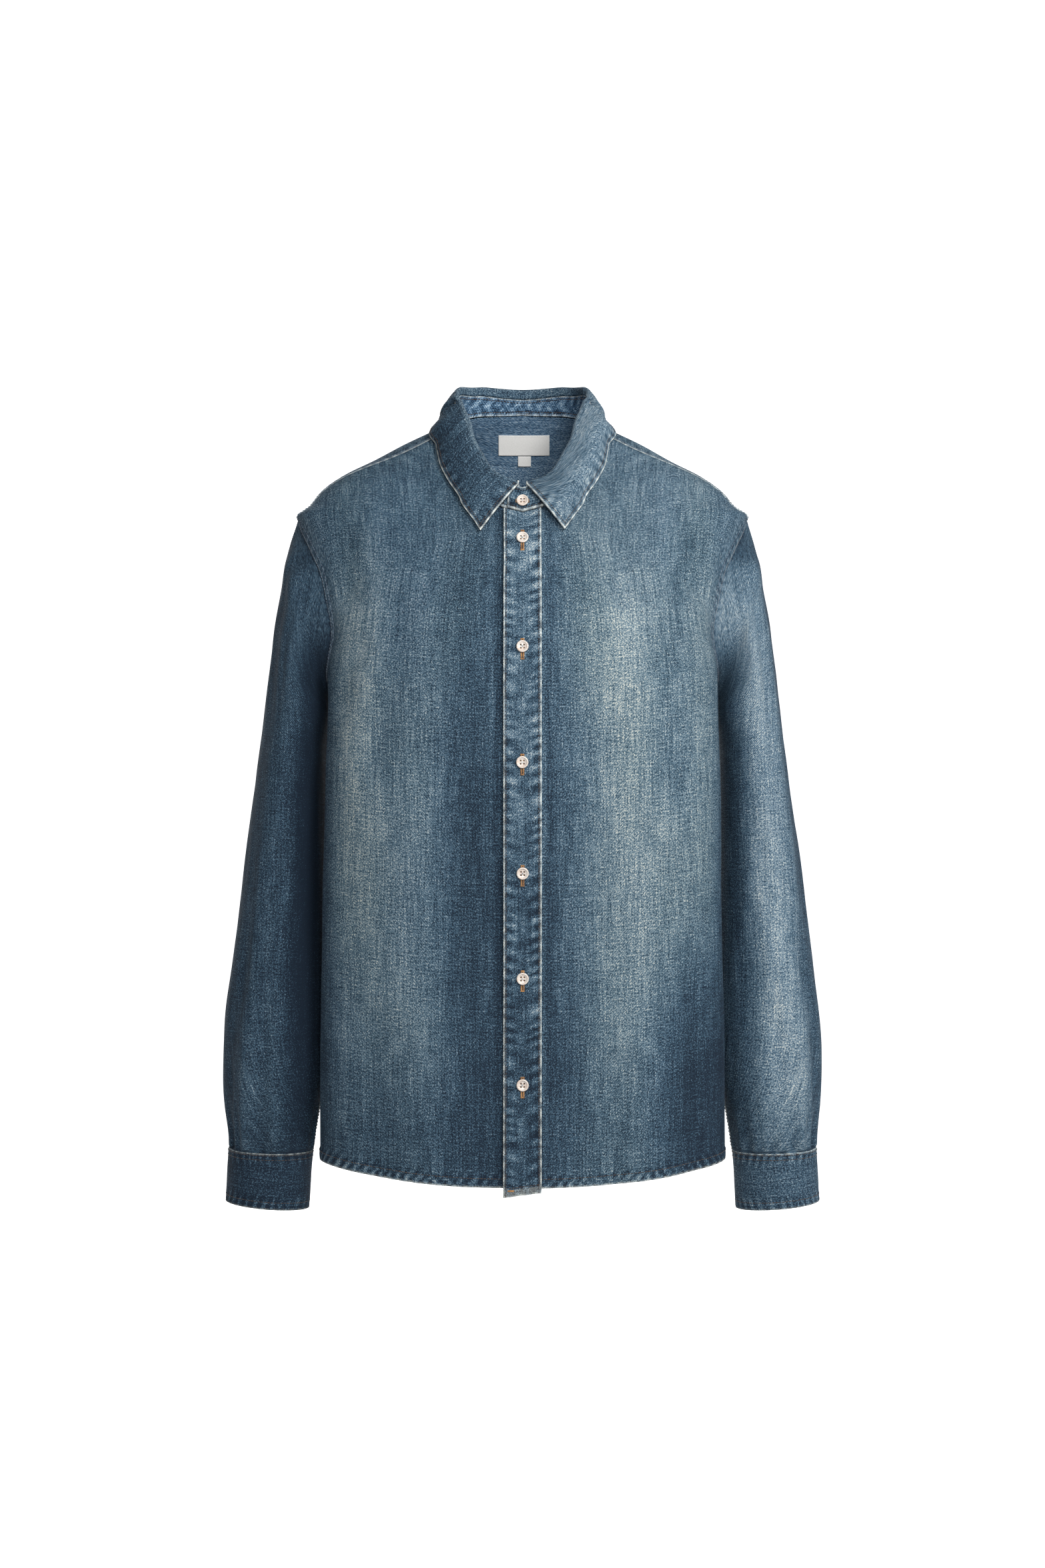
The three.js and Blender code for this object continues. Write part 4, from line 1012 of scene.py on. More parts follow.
# Collar: a stand round the neck and a leaf folded over it. The way round runs from the right
# front (0) by the back (1) to the left front (2).
STAND_HEIGHT = Table([(0, 27), (0.5, 29), (1, 15.5)])
STAND_TILT = Table([(0, 17), (0.6, 17), (1, 9)])
STAND_END = 14.5
STAND_LENGTH, STAND_DEEP = 470, 28
STAND_COVER = 2.0  # the stand's inner layer reaches this far down over the seam
NECK_AXIS_Y = -12.0
LEAF_START = 4.0
LEAF_LENGTH, LEAF_FALL, LEAF_WORN = 620, 66, 0.22  # LEAF_WORN: how worn the fold is
LEAF_RISE = Table([(0, 1.5), (0.5, 4), (1, 7)])
LEAF_EDGE = Table([
    (0, -79.5, -107, 6),
    (0.178, -72.5, -70, 5),
    (0.393, -53, -20, 4.5),
    (0.478, -10, 3.5, 4),
    (0.64, 30, 5, 4),
    (0.82, 60, 6, 4),
    (1, 90, 7, 4.5),
])
LEAF_BULGE = Table([(0, 2.5), (0.25, 3.0), (0.45, 7.0), (0.6, 6.0), (0.8, 3.0), (1, 2.5)])


def neck_frame(way):
    part = np.where(way <= 1, way, 2 - way)
    angle, z = neck_place(part)
    base = plain_body(np.where(way <= 1, 180 - angle, angle), z)
    inward = unit(np.stack([-base[..., 0], NECK_AXIS_Y - base[..., 1], 0 * z], -1))
    tilt = np.radians(STAND_TILT(np.abs(part))[0])[..., None]
    up = inward * np.sin(tilt) + LEVEL * np.cos(tilt)
    out = -inward * np.cos(tilt) + LEVEL * np.sin(tilt)
    tuck = -(DOUBLED + LAP) * (1 - smooth(way, 0.07, 0.17))
    return base, up, out, tuck, STAND_HEIGHT(np.abs(part))[0]


@lru_cache(maxsize=None)
def stand_cloth():
    end = float(part_at_x(STAND_END))
    way = mix(-end, 2 + end, evenly(STAND_LENGTH, 2.1))
    base, up, out, tuck, height = neck_frame(way)
    v = evenly(STAND_DEEP, 1.9)[:, None, None]
    points = base + up * (mix(0.15, 1, v) * height[None, :, None])
    normals = out + 0 * points
    cloth = Cloth(points, normals, tuck[None], tuck[None] - DOUBLED)
    cloth.inside_drop = -up[None] * (STAND_COVER * (1 - smooth(v * STAND_DEEP, 0, 4)))
    cloth.tone += 0.02 + 0.10 * lattice(cloth.u / 9, cloth.v / 7, 131)
    cloth.reverse_share = 1.0
    dress_edges(cloth, STAND_SEAM, bottom=133, top=135, left=137, right=139)
    cloth.grain_across = True
    cloth.reverse_tone = 0.09
    return cloth


def leaf_point(way, part, profile):
    """A point of the leaf: profile 0 to 1 rises inside, 1 to 2 rolls over, 2 to 3 falls outside."""
    base, up, out, tuck, height = neck_frame(way)
    at = lambda rise, lift: base + up * rise[..., None] + out * lift[..., None]
    neck_side, outside = tuck - DOUBLED, DOUBLED + 2 * LAP + 0 * tuck
    radius = (outside - neck_side) / 2
    shoulder = height + SEAM_GAP + LEAF_RISE(part)[0]
    rising = at(mix(height + SEAM_GAP, shoulder, profile), neck_side)
    swing = np.pi * np.clip(profile - 1, 0, 1)
    rolling = at(shoulder + radius * np.sin(swing), neck_side + radius * (1 - np.cos(swing)))
    angle, z, lift = LEAF_EDGE(part)
    angle = np.where(way <= 1, 180 - angle, angle)
    edge = body(angle, z) + body_normal(angle, z) * lift[..., None]
    start = at(shoulder, outside)
    fall = edge - start
    round_neck = neck_frame(way + 0.01)[0] - neck_frame(way - 0.01)[0]
    proud = unit(np.cross(round_neck, fall))
    proud = np.where(proud[..., 2:] < 0, -proud, proud)
    t = np.clip(profile - 2, 0, 1)[..., None]
    falling = start + fall * t + proud * (4 * LEAF_BULGE(part)[0][..., None] * t * (1 - t))
    stage = profile[..., None]
    return np.where(stage <= 1, rising, np.where(stage <= 2, rolling, falling))


LEAF_SHADE = 0.18  # painted shade and light: the wearer's right leaf, away from the light, is darker and the left one paler by this


@lru_cache(maxsize=None)
def leaf_cloth():
    start = float(part_at_x(LEAF_START))
    way = mix(start, 2 - start, evenly(LEAF_LENGTH, 2.4))
    profile = np.concatenate([[0, 0.3, 1], np.linspace(1, 2, 9)[1:], 2 + evenly(LEAF_FALL, 1.9)[1:]])
    ways, profiles = np.meshgrid(way, profile)
    part = np.where(ways <= 1, ways, 2 - ways)
    points = leaf_point(ways, (part - start) / (1 - start), profiles)
    normals = unit(np.cross(np.gradient(points, axis=1), np.gradient(points, axis=0)))
    if normals[-1, len(way) // 2, 1] < 0:
        normals = -normals
    cloth = Cloth(points, normals, 0.0, -DOUBLED)
    cloth.outer += 0.5 * lattice(cloth.u / 46, cloth.v / 34, 141) * smooth(cloth.v, 14, 26)
    cloth.tone += 0.02 + 0.06 * lattice(cloth.u / 24, cloth.v / 40, 143)
    # painted shade and light across the collar's fall
    cloth.tone += np.clip(points[..., 0] / 60, -1, 1) * LEAF_SHADE * (profiles > 2)
    cloth.worn = np.maximum(cloth.worn, LEAF_WORN * np.exp(-(((profiles - 1.5) / 0.5) ** 2)))
    dress_edges(cloth, COLLAR_SEAM, top=145, left=147, right=149)
    return cloth


# Tapes inside the yoke, both bare: x and z of their edges
LABEL = (-24.0, 27.0, -14.0, 4.5)
SIZE_TAB = (-4.5, 8.5, -24.0, -14.6)


def tape_cloth(x0, x1, z0, z1, sag):
    x, z = mix(x0, x1, evenly(x1 - x0, 1.2)), mix(z0, z1, evenly(z1 - z0, 1.2))
    x, z = np.meshgrid(x, z)
    angle = angle_at_x(x, z, 1)
    lift = -(CLOTH + LAP + 0.2)
    cloth = Cloth(body(angle, z), body_normal(angle, z), lift, lift - TAPE * 0.5)
    bow = sag * np.sin(np.pi * (x - x0) / (x1 - x0)) * (z1 - z) / (z1 - z0)
    cloth.outer -= bow
    cloth.inner -= bow
    cloth.grain_across = True
    return cloth


# Making meshes

def linked(name, data):
    made = bpy.data.objects.new(name, data)
    bpy.context.scene.collection.objects.link(made)
    return made


def new_object(name, mesh, material, slot, nodes=()):
    piece = linked(name, mesh)
    mesh.materials.append(material)
    mesh.polygons.foreach_set("use_smooth", np.ones(len(mesh.polygons), bool))
    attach(piece, "root")
    if nodes:
        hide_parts(*nodes)
    return piece


def mesh_from(name, vertices, faces):
    mesh = bpy.data.meshes.new(name)
    mesh.from_pydata((vertices * MM).tolist(), [], faces.tolist())
    mesh.validate()
    return mesh


def cloth_object(name, cloth, material, slot, nodes):
    """Both faces of a cloth and the rim between them, with its weave coordinates and its wear."""
    rows, columns = cloth.points.shape[:2]
    count = rows * columns
    index = np.arange(count).reshape(rows, columns)
    quads = np.stack([index[:-1, :-1], index[:-1, 1:], index[1:, 1:], index[1:, :-1]], -1)[cloth.keep]
    flat = cloth.points.reshape(-1, 3)
    a, b, c = (flat[quads[:, k]] for k in (0, 1, 3))
    facing = (np.cross(b - a, c - a) * cloth.normals.reshape(-1, 3)[quads[:, 0]]).sum(-1)
    if np.median(facing) < 0:
        quads = quads[:, ::-1]
    start, end = quads.ravel(), np.roll(quads, -1, axis=1).ravel()
    rim = ~np.isin(start * count + end, end * count + start)
    start, end = start[rim], end[rim]
    rims = np.stack([end, start, start + count, end + count], -1)
    faces = np.concatenate([quads, quads[:, ::-1] + count, rims])
    both = np.concatenate([
        (cloth.points + cloth.normals * cloth.outer[..., None]).reshape(-1, 3),
        (cloth.points + cloth.normals * cloth.inner[..., None] + cloth.inside_drop).reshape(-1, 3),
    ])
    used, faces = np.unique(faces, return_inverse=True)
    faces = faces.reshape(-1, 4)
    mesh = mesh_from(name, both[used], faces)
    for label, outside, inside in (
        ("tone", cloth.tone, cloth.reverse_share * cloth.tone + cloth.reverse_tone),
        ("worn", cloth.worn, 0.8 * cloth.worn),
        ("aged", cloth.aged, INSIDE_BLUE + 0 * cloth.aged),
    ):
        values = np.concatenate([outside.ravel(), inside.ravel()])[used]
        mesh.attributes.new(label, "FLOAT", "POINT").data.foreach_set("value", values.astype(np.float32))
    across, length = (cloth.v, cloth.u) if cloth.grain_across else (cloth.u, cloth.v)
    weave = np.stack([across.ravel(), length.ravel()], -1) * MM
    weave = np.concatenate([weave, weave])[used]
    corners = np.empty(len(mesh.loops), np.int32)
    mesh.loops.foreach_get("vertex_index", corners)
    mesh.uv_layers.new(name="Weave").data.foreach_set("uv", weave[corners].astype(np.float32).ravel())
    return new_object(name, mesh, material, slot, nodes)


def cloth_area(cloth):
    """The cloth's own area, in square metres."""
    corner = cloth.points[:-1, :-1]
    across, down = cloth.points[:-1, 1:] - corner, cloth.points[1:, :-1] - corner
    cells = np.linalg.norm(np.cross(across, down), axis=-1)
    return float((cells * cloth.keep).sum()) * MM * MM


def ring_quads(first, count):
    """Faces between a ring of points and the ring that follows it."""
    steps = [(first + k, first + (k + 1) % count) for k in range(count)]
    return [(a, b, b + count, a + count) for a, b in steps]


# Sewing

# Half the thickness of the threads that have no setting, and of the strand that paints the shade in a
# buttonhole's slit
LABEL_THREAD, BUTTON_THREAD, HOLE_THREAD, SLIT_SHADE = 0.16, 0.2, 0.27, 0.34


class Thread:
    """Many short lengths of thread, gathered into one mesh."""

    RINGS = ((0.0, -0.15, 0.6), (0.28, 0.75, 1.0), (0.72, 0.75, 1.0), (1.0, -0.15, 0.6))
    ROUND = 5

    def __init__(self, radius):
        self.radius, self.points, self.faces, self.count = radius, [], [], 0

    def lay(self, starts, ends, normals, arch=1.0):
        """Lays one length from each start to each end, bowed out along the normals."""
        run = unit(ends - starts)
        side = unit(np.cross(normals, run))
        out = np.cross(run, side)
        rings = []
        for t, rise, thick in self.RINGS:
            centre = mix(starts, ends, t) + out * (rise * self.radius * arch)
            for k in range(self.ROUND):
                turn = 2 * math.pi * k / self.ROUND
                spoke = side * math.cos(turn) + out * math.sin(turn)
                rings.append(centre + spoke * (self.radius * thick))
        points = np.stack(rings, 1)
        each = points.shape[1]
        faces = []
        for ring in range(len(self.RINGS) - 1):
            faces += ring_quads(ring * self.ROUND, self.ROUND)
        base = self.count + each * np.arange(len(starts))[:, None, None]
        self.faces.append((np.array(faces)[None] + base).reshape(-1, 4))
        self.points.append(points.reshape(-1, 3))
        self.count += each * len(starts)

    def sew(self, line, normals, stitch, gap):
        """Stitches along a line on the cloth."""
        steps = np.linalg.norm(np.diff(line, axis=0), axis=1)
        run = np.concatenate([[0], np.cumsum(steps)])
        count = max(1, int(run[-1] / (stitch + gap)))
        begin = np.arange(count) * (run[-1] / count)
        read = lambda values, at: np.stack([np.interp(at, run, values[:, k]) for k in range(3)], -1)
        self.lay(read(line, begin), read(line, begin + stitch), unit(read(normals, begin + stitch / 2)))

    def object(self, name, material, slot):
        mesh = mesh_from(name, np.concatenate(self.points), np.concatenate(self.faces))
        return new_object(name, mesh, material, slot)


# Materials

class Nodes:
    """A short way to write a material's nodes."""

    def __init__(self, name):
        self.material = bpy.data.materials.new(name)
        self.material.use_nodes = True
        self.tree = self.material.node_tree
        self.tree.nodes.clear()
        self.shader = self.add("ShaderNodeBsdfPrincipled")
        output = self.add("ShaderNodeOutputMaterial")
        self.tree.links.new(self.shader.outputs[0], output.inputs["Surface"])

    def add(self, kind, **settings):
        node = self.tree.nodes.new(kind)
        for name, value in settings.items():
            setattr(node, name, value)
        return node

    def put(self, socket, value):
        if isinstance(value, bpy.types.NodeSocket):
            self.tree.links.new(value, socket)
        else:
            socket.default_value = value

    def surface(self, name, value):
        self.put(self.shader.inputs[name], value)

    def weave(self):
        return self.add("ShaderNodeUVMap", uv_map="Weave").outputs[0]

    def place(self):
        return self.add("ShaderNodeTexCoord").outputs["Object"]

    def swing(self, source, amount, base):
        """The base, moved up and down by a source that runs from 0 to 1."""
        return self.math("MULTIPLY_ADD", self.math("SUBTRACT", source, 0.5), amount, base)

    def math(self, operation, a, b=None, c=None, clamp=False):
        node = self.add("ShaderNodeMath", operation=operation, use_clamp=clamp)
        for socket, value in zip(node.inputs, (a, b, c)):
            if value is not None:
                self.put(socket, value)
        return node.outputs[0]

    def attribute(self, name):
        node = self.add("ShaderNodeAttribute", attribute_type="GEOMETRY", attribute_name=name)
        return node.outputs["Fac"]

    def scaled(self, vector, scale):
        node = self.add("ShaderNodeVectorMath", operation="MULTIPLY")
        self.put(node.inputs[0], vector)
        node.inputs[1].default_value = scale
        return node.outputs[0]

    def noise(self, place, fineness, detail=2.0, roughness=0.5):
        node = self.add("ShaderNodeTexNoise", noise_dimensions="3D")
        self.put(node.inputs["Vector"], self.scaled(place, fineness))
        node.inputs["Scale"].default_value = 1.0
        node.inputs["Detail"].default_value = detail
        node.inputs["Roughness"].default_value = roughness
        return node.outputs["Fac"]

    def mix_colour(self, factor, a, b, blend="MIX"):
        node = self.add("ShaderNodeMix", data_type="RGBA", blend_type=blend)
        self.put(node.inputs[0], factor)
        self.put(node.inputs[6], a)
        self.put(node.inputs[7], b)
        return node.outputs[2]

    def ramp(self, factor, stops):
        node = self.add("ShaderNodeValToRGB")
        node.color_ramp.interpolation = "LINEAR"
        elements = node.color_ramp.elements
        while len(elements) < len(stops):
            elements.new(0.5)
        for element, (place, colour) in zip(elements, stops):
            element.position = place
            element.color = (*colour, 1)
        self.put(node.inputs[0], factor)
        return node.outputs[0]

    def bump(self, height, distance, strength=1.0, under=None):
        node = self.add("ShaderNodeBump")
        node.inputs["Strength"].default_value = strength
        node.inputs["Distance"].default_value = distance
        self.put(node.inputs["Height"], height)
        if under is not None:
            self.put(node.inputs["Normal"], under)
        return node.outputs[0]


# Noises in the denim: their fineness across and along the grain, detail, roughness, and how
# strongly they show
DENIM_NOISES = {
    "streak": ((620, 26, 1), 3.0, 0.62, 0.80),
    "long_streak": ((190, 7, 1), 2.0, 0.5, 0.26),
    "pick": ((55, 480, 1), 2.0, 0.5, 0.40),
    "speckle": ((760, 620, 1), 2.0, 0.7, 2.2),
    "cloud": ((22, 14, 1), 3.0, 0.6, 0.26),
    "patch": ((70, 60, 1), 3.0, 0.6, 0.26),
}
TWILL_SHOWS, TWILL_SLOPE, YARN_WOBBLE = 0.30, 1.15, 3.2
BUMP_WEAVE, BUMP_CREASE = 0.00028, 0.0011  # heights of the weave and the small creases, in metres
# Where plain cloth, mid blue and the faded colour stand between indigo (0) and bare cotton (1)
DENIM_LEVEL, MID_AT, FADED_AT = 0.35, 0.42, 0.78
AGED_TINT, UNFADED_TINT = (1.04, 1.0, 0.92, 1), (0.80, 0.97, 1.18, 1)


def denim_material(name, settings, depth=0.0, twill_strength=1.0):
    """Washed indigo twill: diagonal ribs, uneven yarns, pale weft, worn edges."""
    n = Nodes(name)
    weave = n.weave()
    tone, worn = n.attribute("tone"), n.attribute("worn")
    pitch = settings.twill_pitch
    rib = n.add("ShaderNodeVectorMath", operation="DOT_PRODUCT")
    n.put(rib.inputs[0], weave)
    rib.inputs[1].default_value = (2 * math.pi / pitch, TWILL_SLOPE * math.pi / pitch, 0)
    yarn = n.noise(weave, (900, 700, 1), 1.0)
    phase = n.math("MULTIPLY_ADD", yarn, YARN_WOBBLE, rib.outputs["Value"])
    twill = n.math("MULTIPLY_ADD", n.math("SINE", phase), 0.5, 0.5)
    value = n.math("ADD", tone, DENIM_LEVEL + depth)
    value = n.swing(twill, TWILL_SHOWS * twill_strength, value)
    noises = {}
    for kind, (fineness, detail, roughness, amount) in DENIM_NOISES.items():
        noises[kind] = n.noise(weave, fineness, detail, roughness)
        value = n.swing(noises[kind], amount, value)
    streak, speckle = noises["streak"], noises["speckle"]
    indigo, mid, pale = (tuple(c) for c in (settings.indigo, settings.mid_blue, settings.faded))
    between = tuple(mix(a, b, 0.5) for a, b in zip(indigo, mid))
    stops = [(0.0, indigo), (0.22, between), (MID_AT, mid), (FADED_AT, pale), (1.0, settings.bare)]
    washed = n.ramp(value, stops)
    thread_gap = n.swing(speckle, 1.5, worn)
    rubbed = n.math("MULTIPLY", n.math("SMOOTH_MIN", thread_gap, 1.0, 0.1), worn, clamp=True)
    aged = n.mix_colour(n.attribute("aged"), washed, AGED_TINT, "MULTIPLY")
    unfaded = n.math("MULTIPLY", n.attribute("aged"), -1.0, clamp=True)
    blue = n.mix_colour(unfaded, aged, UNFADED_TINT, "MULTIPLY")
    edge = tuple(min(0.88, 1.4 * c) for c in settings.bare)
    n.surface("Base Color", n.mix_colour(rubbed, blue, (*edge, 1)))
    ribs = n.math("MULTIPLY_ADD", streak, 0.5, twill)
    height = n.math("MULTIPLY_ADD", speckle, 0.9, ribs)
    soft = n.bump(n.noise(weave, (150, 120, 1), 3.0, 0.6), BUMP_CREASE, 0.5)
    n.surface("Normal", n.bump(height, BUMP_WEAVE, 0.55, soft))
    n.surface("Roughness", n.math("MULTIPLY_ADD", speckle, 0.14, 0.80))
    n.surface("Specular IOR Level", 0.22)
    return n.material


def tape_material(settings):
    """Bare woven tape: a fine plain weave, off-white."""
    n = Nodes("woven_tape")
    weave = n.weave()
    fine = n.noise(weave, (2600, 500, 1))
    cross = n.noise(weave, (400, 2400, 1))
    both = n.math("MULTIPLY_ADD", fine, 0.5, n.math("MULTIPLY", cross, 0.5))
    light = tuple(settings.tape)
    shade = tuple(c * 0.86 for c in light)
    n.surface("Base Color", n.ramp(both, [(0.3, shade), (0.62, light)]))
    n.surface("Normal", n.bump(both, 0.00018, 0.5))
    n.surface("Roughness", n.math("MULTIPLY_ADD", fine, 0.1, 0.62))
    n.surface("Sheen Weight", 0.15)
    return n.material


def thread_material(name, light, dark):
    """Spun thread whose colour has worn unevenly."""
    n = Nodes(name)
    place = n.place()
    run = n.noise(place, (260, 260, 260))
    ply = n.noise(place, (5200, 5200, 3400), 1.0)
    n.surface("Base Color", n.ramp(run, [(0.36, tuple(dark)), (0.62, tuple(light))]))
    n.surface("Normal", n.bump(ply, 0.0001, 0.6))
    n.surface("Roughness", n.math("MULTIPLY_ADD", ply, 0.15, 0.6))
    n.surface("Sheen Weight", 0.2)
    return n.material


def button_material(settings):
    """Cream resin with faint shell-like clouds and a soft gloss."""
    n = Nodes("button_resin")
    place = n.place()
    cloud = n.noise(place, (170, 90, 150), 4.0, 0.6)
    fine = n.noise(place, (1500, 1500, 1500))
    cream = tuple(settings.cream)
    warm = (cream[0] * 0.97, cream[1] * 0.86, cream[2] * 0.80)
    n.surface("Base Color", n.ramp(cloud, [(0.35, warm), (0.6, cream)]))
    n.surface("Roughness", n.math("MULTIPLY_ADD", fine, 0.12, 0.22))
    n.surface("Normal", n.bump(fine, 0.00002, 0.4))
    n.surface("Specular IOR Level", 0.55)
    n.surface("Subsurface Weight", 0.12)
    n.surface("Subsurface Radius", (0.003, 0.002, 0.0015))
    n.surface("Coat Weight", 0.25)
    return n.material


# near-black colours of the strand of painted shade in a buttonhole's slit
SLIT_SHADE_DARK, SLIT_SHADE_LIGHT = (0.008, 0.008, 0.012), (0.03, 0.026, 0.03)


def slit_shade_material():
    """A near-black strand along a buttonhole's cut: painted shade in the slit."""
    n = Nodes("buttonhole_slit_shade")
    place = n.place()
    fuzz = n.noise(place, (3000, 3000, 3000))
    n.surface("Base Color", n.ramp(fuzz, [(0.3, SLIT_SHADE_DARK), (0.7, SLIT_SHADE_LIGHT)]))
    n.surface("Roughness", 0.95)
    return n.material


PAPER_GLOW = 1.1


def backdrop_material(settings):
    """Pale seamless paper."""
    n = Nodes("pale_paper")
    place = n.place()
    grain = n.noise(place, (60, 60, 60))
    light = tuple(settings.paper)
    shade = tuple(c * 0.985 for c in light)
    n.surface("Base Color", n.ramp(grain, [(0.3, shade), (0.7, light)]))
    n.surface("Roughness", 0.9)
    n.surface("Specular IOR Level", 0.1)
    n.surface("Emission Color", (*light, 1))
    n.surface("Emission Strength", PAPER_GLOW)
    return n.material


# The darker colour of each thread, and the lighter one of the blue thread, which has no setting
DARK_THREAD = {
    "pale": (0.30, 0.33, 0.35),
    "brown": (0.014, 0.012, 0.014),
    "tan": (0.20, 0.095, 0.035),
    "blue": (0.035, 0.055, 0.095),
}
BLUE_THREAD = (0.16, 0.21, 0.27)


@lru_cache(maxsize=None)
def material(kind):
    scene = bpy.context.scene
    sewing = scene.shirt_sewing
    spun = lambda name, light: lambda: thread_material(f"{name}_thread", light, DARK_THREAD[name])
    makers = {
        "denim": lambda: denim_material("washed_denim", scene.shirt_denim),
        "doubled": lambda: denim_material("worn_doubled_denim", scene.shirt_denim, -0.02, 0.8),
        "tape": lambda: tape_material(scene.shirt_trim),
        "light": spun("pale", sewing.pale_thread),
        "brown": spun("brown", sewing.brown_thread),
        "tan": spun("tan", sewing.tan_thread),
        "blue": spun("blue", BLUE_THREAD),
        "button": lambda: button_material(scene.shirt_trim),
        "slit": slit_shade_material,
        "paper": lambda: backdrop_material(scene.shirt_stage),
    }
    return makers[kind]()


# Settings that a user would change

class ShirtDenim(PropertyGroup):
    indigo: FloatVectorProperty(
        name="Indigo", description="Darkest colour of the washed denim", subtype="COLOR", size=3,
        default=(0.0050, 0.0130, 0.0262), min=0, max=1)
    mid_blue: FloatVectorProperty(
        name="Mid Blue", description="Usual colour of the washed denim", subtype="COLOR", size=3,
        default=(0.0510, 0.1060, 0.1620), min=0, max=1)
    faded: FloatVectorProperty(
        name="Faded", description="Colour where the denim has faded", subtype="COLOR", size=3,
        default=(0.232, 0.318, 0.384), min=0, max=1)
    bare: FloatVectorProperty(
        name="Bare Cotton", description="Colour of threads worn bare", subtype="COLOR", size=3,
        default=(0.58, 0.61, 0.58), min=0, max=1)
    twill_pitch: FloatProperty(
        name="Twill Pitch", description="Distance between the ribs of the twill, across the grain",
        default=0.0015, min=0.0004, max=0.004, precision=5, unit="LENGTH")


class ShirtSewing(PropertyGroup):
    stitch: FloatProperty(
        name="Stitch", description="Length of one stitch", default=0.0026, min=0.001, max=0.006,
        precision=4, unit="LENGTH")
    gap: FloatProperty(
        name="Gap", description="Distance between two stitches", default=0.0006, min=0.0001,
        max=0.003, precision=4, unit="LENGTH")
    thread_radius: FloatProperty(
        name="Thread Radius", description="Half the thickness of the sewing thread",
        default=0.00034, min=0.0001, max=0.001, precision=5, unit="LENGTH")
    pale_thread: FloatVectorProperty(
        name="Pale Thread", description="Thread of the labels and buttons", subtype="COLOR", size=3,
        default=(0.72, 0.71, 0.68), min=0, max=1)
    brown_thread: FloatVectorProperty(
        name="Brown Thread", description="Topstitching thread", subtype="COLOR", size=3,
        default=(0.062, 0.036, 0.024), min=0, max=1)
    tan_thread: FloatVectorProperty(
        name="Tan Thread", description="Buttonhole thread", subtype="COLOR", size=3,
        default=(0.45, 0.235, 0.085), min=0, max=1)


class ShirtTrim(PropertyGroup):
    cream: FloatVectorProperty(
        name="Buttons", description="Colour of the buttons", subtype="COLOR", size=3,
        default=(0.72, 0.66, 0.60), min=0, max=1)
    tape: FloatVectorProperty(
        name="Tapes", description="Colour of the bare tapes in the neck", subtype="COLOR", size=3,
        default=(0.93, 0.925, 0.90), min=0, max=1)


class ShirtStage(PropertyGroup):
    paper: FloatVectorProperty(
        name="Paper", description="Colour of floor and backdrop", subtype="COLOR", size=3,
        default=(0.93, 0.93, 0.93), min=0, max=1)
    camera_distance: FloatProperty(
        name="Camera Distance", description="From the camera to the shirt's middle plane",
        default=2.4, min=0.5, max=10, unit="LENGTH")
    key_power: FloatProperty(
        name="Key Light", description="Power of the light beside the camera", default=40, min=0,
        max=1000, unit="POWER")
    side_power: FloatProperty(
        name="Side Light", description="Power of the light at the right", default=24, min=0,
        max=1000, unit="POWER")
    front_power: FloatProperty(
        name="Front Light", description="Power of the light at the camera", default=24, min=0,
        max=1000, unit="POWER")


# Flat sizes of the cut pieces, width and length in millimetres
CUT = {
    "front": (300, 720),
    "back": (480, 640),
    "yoke": (520, 190),
    "placket": (35, 645),
    "sleeve": (440, 590),
    "slit": (30, 150),
    "cuff": (265, 55),
    "stand": (480, 30),
    "leaf": (520, 85),
    "label": (51, 18.5),
    "size_tab": (13, 12),
}


CLOTH_SLOTS = {"denim": "denim", "doubled": "worn_denim", "tape": "woven_tape"}
LEAST_AREA = 0.31  # of the rectangle that a piece is cut from


def make_piece(node, cloth, kind, cut, prefix="cloth"):
    piece = cloth_object(f"{prefix}_{node}", cloth, material(kind), CLOTH_SLOTS[kind], [node])
    width, length = (size * MM for size in CUT[cut])
    area = min(max(cloth_area(cloth), LEAST_AREA * width * length), width * length)


class ShirtOperator:
    bl_options = {"REGISTER", "UNDO"}


class SHIRT_OT_fronts(ShirtOperator, Operator):
    """Makes both fronts, with their hems and laps"""

    bl_idname = "shirt.fronts"
    bl_label = "Fronts"

    def execute(self, context):
        for name, side in SIDES.items():
            make_piece(f"front_{name}", front_cloth(side), "denim", "front")
        return {"FINISHED"}


class SHIRT_OT_placket(ShirtOperator, Operator):
    """Makes the buttonhole band"""

    bl_idname = "shirt.placket"
    bl_label = "Placket"

    def execute(self, context):
        make_piece("placket", placket_cloth(), "doubled", "placket")
        return {"FINISHED"}


class SHIRT_OT_back(ShirtOperator, Operator):
    """Makes the back"""

    bl_idname = "shirt.back"
    bl_label = "Back"

    def execute(self, context):
        make_piece("back", back_cloth(), "denim", "back")
        return {"FINISHED"}


class SHIRT_OT_yoke(ShirtOperator, Operator):
    """Makes the yoke over the shoulders"""

    bl_idname = "shirt.yoke"
    bl_label = "Yoke"

    def execute(self, context):
        make_piece("yoke", yoke_cloth(), "denim", "yoke")
        return {"FINISHED"}


class SHIRT_OT_tapes(ShirtOperator, Operator):
    """Makes the bare label and size tab, sewn inside the yoke"""

    bl_idname = "shirt.tapes"
    bl_label = "Tapes"

    def execute(self, context):
        thread = Thread(LABEL_THREAD)
        for node, edges in (("label", LABEL), ("size_tab", SIZE_TAB)):
            cloth = tape_cloth(*edges, 0.5 if node == "size_tab" else 0.0)
            make_piece(node, cloth, "tape", node, "tape")
            if node == "label":
                for edge in ("top", "bottom"):
                    thread.sew(*cloth.reverse().inset(edge, 0.9), 0.9, 0.6)
        thread.object("label_stitching", material("light"), "light_thread")
        return {"FINISHED"}


